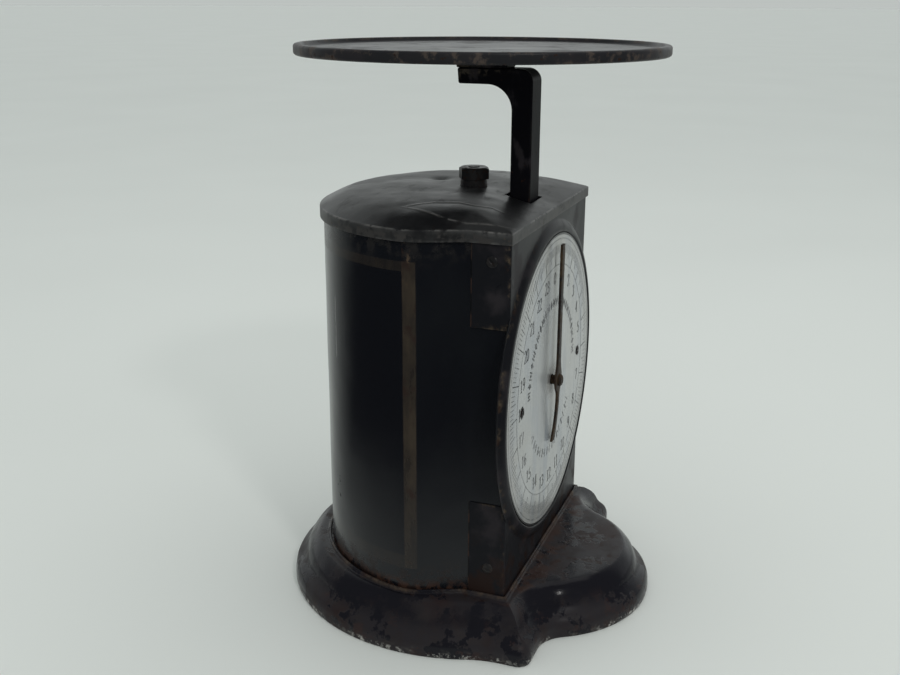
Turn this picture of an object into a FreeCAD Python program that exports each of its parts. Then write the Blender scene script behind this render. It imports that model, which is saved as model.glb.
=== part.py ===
import FreeCAD, Part
import Sketcher
import math
import os
import re

# A household dial scale: a round tray on an L-shaped arm, a spring hung from a bridge inside a
# sheet-metal case, a rack and pinion that turn the pointer, and a lobed cast foot.
# The object stands on Z = 0 and faces -Y. Millimetres.

SIZES = {
    # tray
    "platform_radius": 101.6, "platform_y": -2.6, "platform_top": 317.1, "rim_height": 5.9,
    "rim_width": 3.6, "recess_depth": 2.3, "platform_screw_radius": 2.5, "platform_head_radius": 4.6,
    # arm and the pad between arm and tray
    "arm_width": 17.6, "arm_top": 304.4, "arm_thick": 8.4, "arm_rear": 8.4, "column_rear": -22.8,
    "column_front": -34.4, "column_foot": 190.0, "arm_corner": 7.0, "crook_radius": 14.0,
    "pad_front": -19.6, "pad_rear": 9.4, "arm_edge": 1.5, "pad_width": 16.0,
    # case wrapper: round behind, straight neck in front
    "case_radius": 86.9, "case_y": -1.2, "neck_half": 74.9, "shoulder_y": -22.0, "shoulder_angle": 23.5,
    "shoulder_blend": 25.0, "sheet": 0.9, "case_foot": 27.1, "case_top": 228.5,
    # front panel and dial
    "panel_front": -45.5, "panel_sheet": 0.8, "dial_z": 129.9, "bead_radius": 92.6, "bead_crest": 2.7,
    "bead_top": 86.6, "bead_flank": 89.4, "bead_flank_rise": 1.9, "bead_roll": 85.8, "bead_roll_rise": 2.35,
    "plateau": 1.6, "dial_radius": 84.8, "dial_thick": 0.8, "dial_screw_x": 58.0, "ear_depth": 22.0,
    "upper_ear_low": 180.0, "upper_ear_high": 224.0, "lower_ear_high": 82.0, "ear_screw_y": -35.8,
    "upper_ear_screw": 215.0, "lower_ear_screw": 44.0,
    # lid
    "lid_edge": 230.6, "lid_skirt": 224.3, "lid_crown": 240.4, "lid_dome_radius": 400.0,
    "lid_front_slope": 17.0, "lid_gap": 1.0, "column_gap": 2.5,
    # foot casting
    "foot_radius": 105.6, "foot_y": 4.1, "ear_half": 96.0, "ear_front": -65.8, "ear_corner": 7.6,
    "flank_radius": 60.0, "lobe_radius": 68.4, "lobe_y": -41.3, "lobe_blend": 19.0, "foot_wall": 4.0,
    "deck_thick": 5.0, "lip_height": 2.0,
    # spring suspension
    "hanger_y": 1.2, "bolt_radius": 3.0, "bolt_top": 250.4, "eye_z": 207.0, "eye_radius": 5.0,
    "eye_wire": 2.0, "collar_radius": 7.5, "collar_top": 243.5, "nut_flats": 15.5, "nut_height": 6.5,
    "bridge_low": 214.0, "bridge_thick": 5.0, "coil_radius": 7.6, "spring_wire": 1.3, "coil_turns": 24.0,
    "coil_low": 77.5, "coil_high": 195.0, "foot_eye_z": 65.5,
    # frame posts
    "post_x": 26.0, "post_thick": 3.5, "post_front": 28.2, "post_depth": 12.0, "post_flange": 14.0,
    # carriage below the arm
    "bar_half": 11.0, "bar_thick": 4.0, "bar_low": 55.5, "bar_high": 214.0, "slot_half": 6.0,
    "travel": 25.4, "block_half": 9.0, "block_depth": 6.0, "pin_radius": 1.5,
    # check links
    "link_length": 50.0, "upper_link_z": 186.0, "lower_link_z": 92.0, "link_inner": 11.4,
    "link_sheet": 2.5, "rod_radius": 2.5, "running_gap": 0.05,
    # rack, pinion and pointer
    "gear_teeth": 16.0, "addendum": 0.5, "dedendum": 0.65, "tooth_width": 0.6, "gear_width": 5.2,
    "rack_y": -28.8, "arbor_radius": 1.75, "arbor_front": -54.2, "arbor_rear": -11.8,
    "pointer_y": -52.4, "pointer_thick": 1.0, "pointer_tip": 80.0, "pointer_tail": 38.0,
    "pointer_half": 2.3, "pointer_disc": 5.0, "hub_cap": 3.4, "hub_neck": 2.2, "hub_sleeve": 2.7,
    "yoke_height": 12.0, "yoke_sheet": 2.0, "yoke_x": 18.0,
    "yoke_rear": -12.5, "yoke_reach": 64.0, "bush_radius": 3.2,
    # shank radii of the screws, by where they go
    "screw_small": 1.25, "screw_sheet": 1.5, "screw_arm": 1.75, "screw_frame": 2.0, "rivet_radius": 1.2,
}

ARM_SCREWS = ("column_foot + 7", "column_foot + 17")   # heights of the two screws through the bar
LINK_ANGLE = 14.25   # degrees that each check link stands above level with the tray unloaded
TOOTH_SLOPE = 0.36   # tangent of a rack tooth's flank angle

doc = FreeCAD.newDocument("dial_scale")
sheet = doc.addObject("Spreadsheet::Sheet", "Sizes")
for row, (alias, number) in enumerate(SIZES.items(), start=1):
    sheet.set("A%d" % row, alias)
    sheet.set("B%d" % row, str(number))
    sheet.setAlias("B%d" % row, alias)
doc.recompute()

sub_parts = []


# ---------------------------------------------------------------- helpers

def vector(x, y, z):
    return FreeCAD.Vector(x, y, z)


def formula(text):
    """An expression with every alias of the sheet written in full."""
    def full(word):
        return "Sizes." + word.group() if word.group() in SIZES else word.group()

    return re.sub(r"[a-z_]+", full, str(text))


def size(text):
    """The number that an expression of sheet aliases stands for."""
    return float(sheet.evalExpression(formula(text)))


def place(item, at, turn=None):
    """Bind the item's position to three expressions; turn is (axis, degrees)."""
    if turn:
        item.Placement = FreeCAD.Placement(vector(0, 0, 0), FreeCAD.Rotation(vector(*turn[0]), turn[1]))
    for axis, text in zip("xyz", at):
        item.setExpression("Placement.Base." + axis, formula(text))
    return item


def box(low, high):
    """A block between two corners, each given by expressions."""
    item = doc.addObject("Part::Box", "block")
    for side, start, end in zip(("Length", "Width", "Height"), low, high):
        item.setExpression(side, formula("(%s) - (%s)" % (end, start)))
    return place(item, low)


TURNS = {"z": None, "x": ((0, 1, 0), 90), "y": ((1, 0, 0), -90)}


def rod(radius, length, at, along="z"):
    """A cylinder that starts at a point and runs along a positive axis."""
    item = doc.addObject("Part::Cylinder", "rod")
    item.setExpression("Radius", formula(radius))
    item.setExpression("Height", formula(length))
    return place(item, at, TURNS[along])


def cone(low_radius, high_radius, length, at, along="z"):
    item = doc.addObject("Part::Cone", "cone")
    item.setExpression("Radius1", formula(low_radius))
    item.setExpression("Radius2", formula(high_radius))
    item.setExpression("Height", formula(length))
    return place(item, at, TURNS[along])


def ring(radius, wire, at, along="z"):
    item = doc.addObject("Part::Torus", "ring")
    item.setExpression("Radius1", formula(radius))
    item.setExpression("Radius2", formula(wire))
    return place(item, at, TURNS[along])


def fuse(*items):
    item = doc.addObject("Part::MultiFuse", "fuse")
    item.Shapes = list(items)
    return item


def cut(base, *tools):
    item = doc.addObject("Part::Cut", "cut")
    item.Base = base
    item.Tool = tools[0] if len(tools) == 1 else fuse(*tools)
    return item


def group(items):
    item = doc.addObject("Part::Compound", "group")
    item.Links = list(items)
    return item


def coded(shape):
    """A feature whose shape is worked out here from the sheet's sizes."""
    item = doc.addObject("Part::Feature", "coded")
    item.Shape = shape
    return item


def keep(label, item):
    """Name a sub-part: the label is its node and file name."""
    item.Label = label
    sub_parts.append(item)
    return item


def new_body():
    return doc.addObject("PartDesign::Body", "body")


def origin_part(body, role):
    return next(part for part in body.Origin.OriginFeatures if part.Role == role)


def outline_sketch(body, plane, corners):
    """A closed outline on one of the body's own planes, each corner held by two bound dimensions."""
    sketch = body.newObject("Sketcher::SketchObject", "outline")
    sketch.AttachmentSupport = (origin_part(body, plane), [""])
    sketch.MapMode = "FlatFace"
    points = [vector(size(u), size(v), 0) for u, v in corners]
    count = len(points)
    for index in range(count):
        sketch.addGeometry(Part.LineSegment(points[index], points[(index + 1) % count]), False)
    for index in range(count):
        sketch.addConstraint(Sketcher.Constraint("Coincident", index, 2, (index + 1) % count, 1))
    for index, corner in enumerate(corners):
        for kind, text in zip(("DistanceX", "DistanceY"), corner):
            number = sketch.addConstraint(Sketcher.Constraint(kind, -1, 1, index, 1, size(text)))
            sketch.setExpression("Constraints[%d]" % number, formula(text))
    return sketch


def padded(plane, corners, length, both_sides=False, reverse=False):
    body = new_body()
    sketch = outline_sketch(body, plane, corners)
    pad = body.newObject("PartDesign::Pad", "pad")
    pad.Profile = sketch
    pad.setExpression("Length", formula(length))
    if both_sides:
        pad.SideType = "Symmetric"
    pad.Reversed = reverse
    return body


def turned(plane, corners, axis):
    """A body of revolution about one of its own axes."""
    body = new_body()
    sketch = outline_sketch(body, plane, corners)
    turn = body.newObject("PartDesign::Revolution", "turn")
    turn.Profile = sketch
    turn.ReferenceAxis = (origin_part(body, axis), [""])
    turn.Angle = 360
    return body


def round_edges(body, radius, points):
    """Round the edges of the body's tip that pass through the given points."""
    doc.recompute()
    tip = body.Tip
    names = []
    for number, edge in enumerate(tip.Shape.Edges, start=1):
        near = [point for point in points if edge.distToShape(Part.Vertex(vector(*point)))[0] < 0.01]
        if near:
            names.append("Edge%d" % number)
    fillet = body.newObject("PartDesign::Fillet", "rounding")
    fillet.Base = (tip, names)
    fillet.setExpression("Radius", formula(radius))
    return body


def screw(radius, length, head_radius, head_height, at, along, inward=1):
    """A round-headed screw: its head's flat underside is at the point, its shank runs inward."""
    direction = "xyz".index(along)
    start = list(at)
    if inward < 0:
        start[direction] = "(%s) - (%s)" % (at[direction], length)
    shank = rod(radius, length, start, along)
    head = list(at)
    if inward > 0:
        head[direction] = "(%s) - (%s)" % (at[direction], head_height)
        top = cone("0.6 * (%s)" % head_radius, head_radius, head_height, head, along)
    else:
        top = cone(head_radius, "0.6 * (%s)" % head_radius, head_height, head, along)
    return fuse(shank, top)


# ---------------------------------------------------------------- outlines worked out in code

def mirrored_wire(edges):
    """Close a half outline, given on the -X side, with its mirror image."""
    mirror = [edge.mirror(vector(0, 0, 0), vector(1, 0, 0)) for edge in edges]
    return Part.Wire(Part.__sortEdges__(edges + mirror))


def arc_about(centre, radius, start, end, inward_point):
    """The arc between two points on a circle, on the side of a third point."""
    toward = (inward_point - centre).normalize() * radius
    return Part.Arc(start, centre + toward, end).toShape()


def case_outline(offset, front):
    """The case's plan, moved outward by offset and cut off square at the front."""
    radius = size("case_radius") + offset
    blend = size("shoulder_blend") + offset
    angle = math.radians(size("shoulder_angle"))
    centre = vector(0, size("case_y"), 0)
    corner = vector(-size("neck_half") - offset, size("shoulder_y") - offset * math.tan(angle / 2), 0)
    along = vector(-math.sin(angle), math.cos(angle), 0)
    inward = vector(math.cos(angle), math.sin(angle), 0)
    start = corner + inward * blend - centre
    middle = start.dot(along)
    run = -middle + math.sqrt(middle ** 2 - start.dot(start) + (radius - blend) ** 2)
    blend_centre = corner + inward * blend + along * run
    line_end = corner + along * run
    round_start = centre + (blend_centre - centre).normalize() * radius
    rear = centre + vector(0, radius, 0)
    halfway = (line_end + round_start) * 0.5
    edges = [
        Part.LineSegment(vector(0, front, 0), vector(corner.x, front, 0)).toShape(),
        Part.LineSegment(vector(corner.x, front, 0), corner).toShape(),
        Part.LineSegment(corner, line_end).toShape(),
        arc_about(blend_centre, blend, line_end, round_start, halfway),
        arc_about(centre, radius, round_start, rear, (round_start + rear) * 0.5),
    ]
    return mirrored_wire(edges)


def foot_outline(inset):
    """The foot's floor outline moved inward by inset: round behind, an ear at each side, a front lobe."""
    radius = size("foot_radius") - inset
    centre = vector(0, size("foot_y"), 0)
    ear_x = -(size("ear_half") - inset)
    ear_y = size("ear_front") + inset
    corner = max(size("ear_corner") - inset, 0.5)
    flank = size("flank_radius") + inset
    lobe = size("lobe_radius") - inset
    lobe_centre = vector(0, size("lobe_y"), 0)
    blend = size("lobe_blend") + inset

    drop = math.sqrt((radius + flank) ** 2 - (ear_x - flank) ** 2)
    flank_centre = vector(ear_x - flank, centre.y - drop, 0)
    flank_start = centre + (flank_centre - centre).normalize() * radius
    flank_end = vector(ear_x, flank_centre.y, 0)
    ear_side = vector(ear_x, ear_y + corner, 0)
    ear_centre = vector(ear_x + corner, ear_y + corner, 0)
    ear_end = vector(ear_x + corner, ear_y, 0)

    blend_y = ear_y - blend
    blend_x = -math.sqrt((lobe + blend) ** 2 - (blend_y - lobe_centre.y) ** 2)
    blend_centre = vector(blend_x, blend_y, 0)
    blend_start = vector(blend_x, ear_y, 0)
    blend_end = lobe_centre + (blend_centre - lobe_centre).normalize() * lobe
    rear = centre + vector(0, radius, 0)
    front = lobe_centre - vector(0, lobe, 0)
    edges = [
        arc_about(centre, radius, rear, flank_start, centre + vector(-radius, 0, 0)),
        arc_about(flank_centre, flank, flank_start, flank_end, (flank_start + flank_end) * 0.5),
        Part.LineSegment(flank_end, ear_side).toShape(),
        arc_about(ear_centre, corner, ear_side, ear_end, ear_centre + vector(-1, -1, 0)),
        Part.LineSegment(ear_end, blend_start).toShape(),
        arc_about(blend_centre, blend, blend_start, blend_end, (blend_start + blend_end) * 0.5),
        arc_about(lobe_centre, lobe, blend_end, front, (blend_end + front) * 0.5),
    ]
    return mirrored_wire(edges)


def prism(wire, low, high):
    face = Part.Face(wire)
    face.translate(vector(0, 0, low))
    return face.extrude(vector(0, 0, high - low))


def lofted(levels):
    """A solid through foot outlines, each given as (inset, height)."""
    wires = []
    for inset, height in levels:
        wire = foot_outline(inset)
        wire.translate(vector(0, 0, height))
        wires.append(wire)
    return Part.makeLoft(wires, True, True)


# ---------------------------------------------------------------- foot, case and front

FOOT_PROFILE = [(0, 0), (0, 5.5), (2, 10.5), (6, 14), (9, 19), (12.5, 24)]   # inset and height of each bend
DECK_INSET = 16.0
LIP_WIDTH = 1.6
BRACKET_HOLE = 6.5       # from a case bracket's back to its screw
BRACKET_Y = -30.0
REAR_BRACKET_GAP = 0.3   # a flat bracket against the round wall


def foot_casting():
    top = size("case_foot")
    wall = size("foot_wall")
    outer = lofted(FOOT_PROFILE + [(DECK_INSET, top)])
    low_rim = [(wall, -1), (wall, 4)]
    inner = lofted(low_rim + [(inset + wall, height) for inset, height in FOOT_PROFILE[2:5]]
                   + [(DECK_INSET + 1, top - size("deck_thick"))])
    lip_gap = size("panel_sheet") + 0.2
    lip_front = size("panel_front") - 0.2
    lip_top = top + size("lip_height")
    lip = prism(case_outline(lip_gap + LIP_WIDTH, lip_front - LIP_WIDTH), top - 1, lip_top)
    lip = lip.cut(prism(case_outline(lip_gap, lip_front), top - 2, lip_top + 1))
    casting = outer.cut(inner).fuse(lip).removeSplitter()
    for radius, x, y in deck_screws():
        casting = casting.cut(Part.makeCylinder(radius, 20, vector(x, y, top - 10)))
    return casting


def deck_screws():
    """Radius and place of each screw that goes down into the deck."""
    post_x = size("post_x + post_thick") + 8
    post_y = size("post_front + post_depth / 2")
    side_x = size("neck_half - sheet") - BRACKET_HOLE
    rear_y = size("case_y + case_radius - sheet") - REAR_BRACKET_GAP - BRACKET_HOLE
    places = [(size("screw_frame"), side * post_x, post_y) for side in (-1, 1)]
    places += [(size("screw_sheet"), side * side_x, BRACKET_Y) for side in (-1, 1)]
    return places + [(size("screw_sheet"), 0.0, rear_y)]


def case_sheet():
    thickness = size("sheet")
    low, high = size("case_foot"), size("case_top")
    back_of_panel = size("panel_front + panel_sheet")
    outer = prism(case_outline(0, back_of_panel), low, high)
    inner = prism(case_outline(-thickness, back_of_panel - 10), low - 1, high + 1)
    return outer.cut(inner)


def lid_dome(drop):
    """The space below the lid's crown: a shallow ball top cut by a plane that falls to the front edge."""
    radius = size("lid_dome_radius")
    ball = Part.makeSphere(radius, vector(0, size("hanger_y"), size("lid_crown") - drop - radius))
    slope = math.tan(math.radians(size("lid_front_slope")))
    edge = size("lid_edge") - drop
    front = size("panel_front") - 1
    high = edge + 20
    reach = 150
    floor = 200
    corners = [(front - 20, floor), (front - 20, edge - 20 * slope), (front + 20 / slope, high),
               (reach, high), (reach, floor)]
    points = [vector(-reach, y, z) for y, z in corners + corners[:1]]
    wedge = Part.Face(Part.makePolygon(points)).extrude(vector(2 * reach, 0, 0))
    return ball.common(wedge)


def lid_pressing():
    gap, thickness = size("lid_gap"), size("sheet")
    skirt, high = size("lid_skirt"), size("lid_crown") + 5
    front = size("panel_front") - 0.1
    outer = prism(case_outline(gap + thickness, front - thickness), skirt, high).common(lid_dome(0))
    inner = prism(case_outline(gap, front), skirt - 1, high).common(lid_dome(thickness))
    shell = outer.cut(inner)
    nut_hole = Part.makeCylinder(size("collar_radius + 0.3"), 30, vector(0, size("hanger_y"), skirt))
    clear = size("column_gap")
    width = size("arm_width") + 2 * clear
    depth = size("column_rear - column_front") + 2 * clear
    column_hole = Part.makeBox(width, depth, 30, vector(-width / 2, size("column_front") - clear, skirt))
    return shell.cut(nut_hole).cut(column_hole)


def front_pressing():
    """A flat sheet with a raised round bead, a plateau for the dial and four ears folded back."""
    sheet_thick = size("panel_sheet")
    front, back = size("panel_front"), size("panel_front + panel_sheet")
    half = size("neck_half") + sheet_thick
    low, high = size("case_foot"), size("case_top")
    bead, plateau = size("bead_radius"), size("plateau")
    seat = size("dial_radius") + 0.4
    hole = size("bush_radius") + 1
    centre = vector(0, 0, size("dial_z"))

    def flat(radius, y, depth):
        return Part.makeCylinder(radius, depth, vector(0, y, centre.z), vector(0, 1, 0))

    plate = Part.makeBox(2 * half, sheet_thick, high - low, vector(-half, front, low))
    plate = plate.fuse(flat(bead, front, sheet_thick)).cut(flat(bead - 1.5, front - 1, sheet_thick + 2))

    def at(radius, y):
        return vector(radius, y, centre.z)

    def arches(y):
        """The bead's gentle flank and the roll that falls to the dial's seat."""
        crest = at(size("bead_top"), y - size("bead_crest"))
        flank = at(size("bead_flank"), y - size("bead_flank_rise"))
        roll = at(size("bead_roll"), y - size("bead_roll_rise"))
        return [Part.Arc(at(bead, y), flank, crest).toShape(),
                Part.Arc(crest, roll, at(seat, y - plateau)).toShape()]

    profile = Part.Wire(Part.__sortEdges__(arches(front) + arches(back) + [
        Part.LineSegment(at(seat, front - plateau), at(hole, front - plateau)).toShape(),
        Part.LineSegment(at(hole, front - plateau), at(hole, back - plateau)).toShape(),
        Part.LineSegment(at(hole, back - plateau), at(seat, back - plateau)).toShape(),
        Part.LineSegment(at(bead, back), at(bead, front)).toShape(),
    ]))
    stamping = Part.Face(profile).revolve(centre, vector(0, 1, 0), 360)
    panel = plate.fuse(stamping)

    depth = size("ear_depth")
    ears = [(low, size("lower_ear_high")), (size("upper_ear_low"), size("upper_ear_high"))]
    for ear_low, ear_high in ears:
        for left in (-half, half - sheet_thick):
            ear = Part.makeBox(sheet_thick, depth, ear_high - ear_low, vector(left, front, ear_low))
            panel = panel.fuse(ear)
    for x in (-1, 1):
        start = vector(x * size("dial_screw_x"), front - 5, centre.z)
        panel = panel.cut(Part.makeCylinder(size("screw_sheet"), 10, start, vector(0, 1, 0)))
    return panel.removeSplitter()


def ear_screw_holes(shape):
    """Cross holes for the four ear screws, through the sheet at both sides."""
    for z in (size("upper_ear_screw"), size("lower_ear_screw")):
        start = vector(-100, size("ear_screw_y"), z)
        shape = shape.cut(Part.makeCylinder(size("screw_sheet"), 200, start, vector(1, 0, 0)))
    return shape


def build_outside():
    keep("base_casting", coded(foot_casting()))
    keep("case_wrapper", coded(ear_screw_holes(case_sheet())))
    keep("front_panel", coded(ear_screw_holes(front_pressing())))
    keep("lid", coded(lid_pressing()))

    face = "panel_front - plateau - dial_thick"
    plate = rod("dial_radius", "dial_thick", ("0", face, "dial_z"), "y")
    holes = [rod("bush_radius", "dial_thick + 2", ("0", face + " - 1", "dial_z"), "y")]
    screw_spots = ["%d * dial_screw_x" % side for side in (-1, 1)]
    holes += [rod("screw_sheet", "dial_thick + 2", (x, face + " - 1", "dial_z"), "y") for x in screw_spots]
    keep("dial_plate", cut(plate, *holes))
    keep("dial_screws", group(
        screw("screw_sheet", "5.5", "3", "0.9", (x, face, "dial_z"), "y") for x in screw_spots))

    ear_screws = []
    for z in ("upper_ear_screw", "lower_ear_screw"):
        for x, inward in (("-neck_half - panel_sheet", 1), ("neck_half + panel_sheet", -1)):
            ear_screws.append(screw("screw_sheet", "5", "3", "0.9", (x, "ear_screw_y", z), "x", inward))
    keep("ear_screws", group(ear_screws))


def build_case_brackets():
    """Small angles inside the case foot: one at each side of the neck and one at the rear."""
    angles, screws = [], []
    high = "case_foot + 10"
    inner = "neck_half - sheet"
    for side in (-1, 1):
        near, far = ("-(%s)" % inner, "-(%s) + 10" % inner) if side < 0 else (inner + " - 10", inner)
        wall = ("-(%s)" % inner, "-(%s) + 2" % inner) if side < 0 else (inner + " - 2", inner)
        leg = box((wall[0], "-35", "case_foot"), (wall[1], "-25", high))
        sole = box((near, "-35", "case_foot"), (far, "-25", "case_foot + 2"))
        middle = "%d * (%s - %s)" % (side, inner, BRACKET_HOLE)
        angles.append(cut(fuse(leg, sole), rod("screw_sheet", "4", (middle, BRACKET_Y, "case_foot - 1"))))
        screws.append(screw("screw_sheet", "5.5", "2.8", "1.6",
                            (middle, BRACKET_Y, "case_foot + 2"), "z", -1))
    wall = "case_y + case_radius - sheet - %s" % REAR_BRACKET_GAP
    leg = box(("-5", wall + " - 2", "case_foot"), ("5", wall, high))
    sole = box(("-5", wall + " - 10", "case_foot"), ("5", wall, "case_foot + 2"))
    rear = "%s - %s" % (wall, BRACKET_HOLE)
    angles.append(cut(fuse(leg, sole), rod("screw_sheet", "4", ("0", rear, "case_foot - 1"))))
    screws.append(screw("screw_sheet", "5.5", "2.8", "1.6", ("0", rear, "case_foot + 2"), "z", -1))
    keep("case_brackets", group(angles))
    keep("bracket_screws", group(screws))


# ---------------------------------------------------------------- frame and spring

def build_frame():
    post_screws, bridge_screws = [], []
    rear = "post_front + post_depth"
    middle = "post_front + post_depth / 2"
    for side, name in ((-1, "post_left"), (1, "post_right")):
        def across(text):
            return "%d * (%s)" % (side, text)

        def block(x_near, x_far, low, high):
            low_x, high_x = (across(x_near), across(x_far)) if side > 0 else (across(x_far), across(x_near))
            return box((low_x, "post_front", low), (high_x, rear, high))

        outer = "post_x + post_thick"
        upright = block("post_x", outer, "case_foot", "bridge_low")
        sole = block("post_x", outer + " + post_flange", "case_foot", "case_foot + post_thick")
        cap = block(outer + " - post_flange", outer, "bridge_low - post_thick", "bridge_low")
        holes = [
            rod("screw_frame", "10", (across(outer + " + 8"), middle, "case_foot - 2")),
            rod("screw_frame", "10", (across("20"), middle, "bridge_low - 6")),
            rod("rod_radius", "80", ("-40", middle, "upper_link_z - travel / 2"), "x"),
            rod("rod_radius", "80", ("-40", middle, "lower_link_z - travel / 2"), "x"),
        ]
        keep(name, cut(fuse(upright, sole, cap), *holes))
        post_screws.append(screw("screw_frame", "post_thick + 4", "3.6", "2.4",
                                 (across(outer + " + 8"), middle, "case_foot + post_thick"), "z", -1))
        bridge_screws.append(screw("screw_frame", "bridge_thick + post_thick", "3.6", "2.4",
                                   (across("20"), middle, "bridge_low + bridge_thick"), "z", -1))
    keep("post_screws", group(post_screws))
    keep("bridge_screws", group(bridge_screws))

    plate = padded("XY_Plane", [("-bar_half", "hanger_y - 9"), ("bar_half", "hanger_y - 9"),
                                ("post_x + post_thick", "post_front"), ("post_x + post_thick", rear),
                                ("-post_x - post_thick", rear), ("-post_x - post_thick", "post_front")],
                   "bridge_thick")
    place(plate, ("0", "0", "bridge_low"))
    holes = [rod("screw_frame", "20", ("%d * 20" % side, middle, "bridge_low - 5")) for side in (-1, 1)]
    holes.append(rod("bolt_radius", "20", ("0", "hanger_y", "bridge_low - 5")))
    keep("bridge", cut(plate, *holes))

    for name, height in (("upper_link_rod", "upper_link_z"), ("lower_link_rod", "lower_link_z")):
        keep(name, rod("rod_radius", "2 * (post_x + post_thick)",
                       ("-post_x - post_thick", middle, height + " - travel / 2"), "x"))
    collars = []
    for height in ("upper_link_z", "lower_link_z"):
        for start in ("link_inner + link_sheet + 0.3", "-link_inner - link_sheet - 4.3"):
            outer = rod("rod_radius + 2.2", "4", (start, middle, height + " - travel / 2"), "x")
            inner = rod("rod_radius", "6", (start + " - 1", middle, height + " - travel / 2"), "x")
            collars.append(cut(outer, inner))
    keep("rod_collars", group(collars))


def build_suspension():
    shank = rod("bolt_radius", "bolt_top - eye_z - eye_radius", ("0", "hanger_y", "eye_z + eye_radius"))
    eye = ring("eye_radius", "eye_wire", ("0", "hanger_y", "eye_z"), "y")
    keep("eyebolt", fuse(shank, eye))

    collar = turned("XZ_Plane", [("bolt_radius", "bridge_low + bridge_thick"),
                                 ("collar_radius", "bridge_low + bridge_thick"),
                                 ("collar_radius", "collar_top"), ("bolt_radius", "collar_top")], "Z_Axis")
    keep("nut_collar", place(collar, ("0", "hanger_y", "0")))

    prism_nut = doc.addObject("Part::Prism", "hexagon")
    prism_nut.Polygon = 6
    prism_nut.setExpression("Circumradius", formula("nut_flats / 2 / cos(30 deg)"))
    prism_nut.setExpression("Height", formula("nut_height"))
    place(prism_nut, ("0", "hanger_y", "collar_top + running_gap"))
    bore = rod("bolt_radius + running_gap", "nut_height + 2", ("0", "hanger_y", "collar_top - 1"))
    keep("zero_nut", cut(prism_nut, bore))

    keep("main_spring", coded(coil_spring()))


def coil_spring():
    """An open coil with a ring hook at each end."""
    low, high = size("coil_low"), size("coil_high")
    radius, wire = size("coil_radius"), size("spring_wire")
    helix = Part.makeHelix((high - low) / size("coil_turns"), high - low, radius)
    section = Part.Wire(Part.makeCircle(wire, vector(radius, 0, 0), vector(0, 1, 0)))
    coil = Part.Wire(helix.Edges).makePipeShell([section], True, True)
    coil.translate(vector(0, 0, low))
    hook_radius = 4.6
    reach = size("eye_wire") + wire + 0.1
    top_hook = size("eye_z") - size("eye_radius") + reach - hook_radius
    foot_hook = size("foot_eye_z") + size("eye_radius") - reach + hook_radius
    spring = coil
    for height, hook_height in ((high, top_hook), (low, foot_hook)):
        hook = Part.makeTorus(hook_radius, wire, vector(0, 0, hook_height), vector(1, 0, 0))
        stem = Part.makeCylinder(wire, radius, vector(0, 0, height), vector(1, 0, 0))
        end = hook_height - hook_radius if height == high else hook_height + hook_radius
        post = Part.makeCylinder(wire, abs(height - end) + 0.5, vector(0, 0, min(height, end) - 0.25))
        spring = spring.fuse([hook, stem, post])
    spring.translate(vector(0, size("hanger_y"), 0))
    return spring


# ---------------------------------------------------------------- carriage: tray, arm and bar

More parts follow.
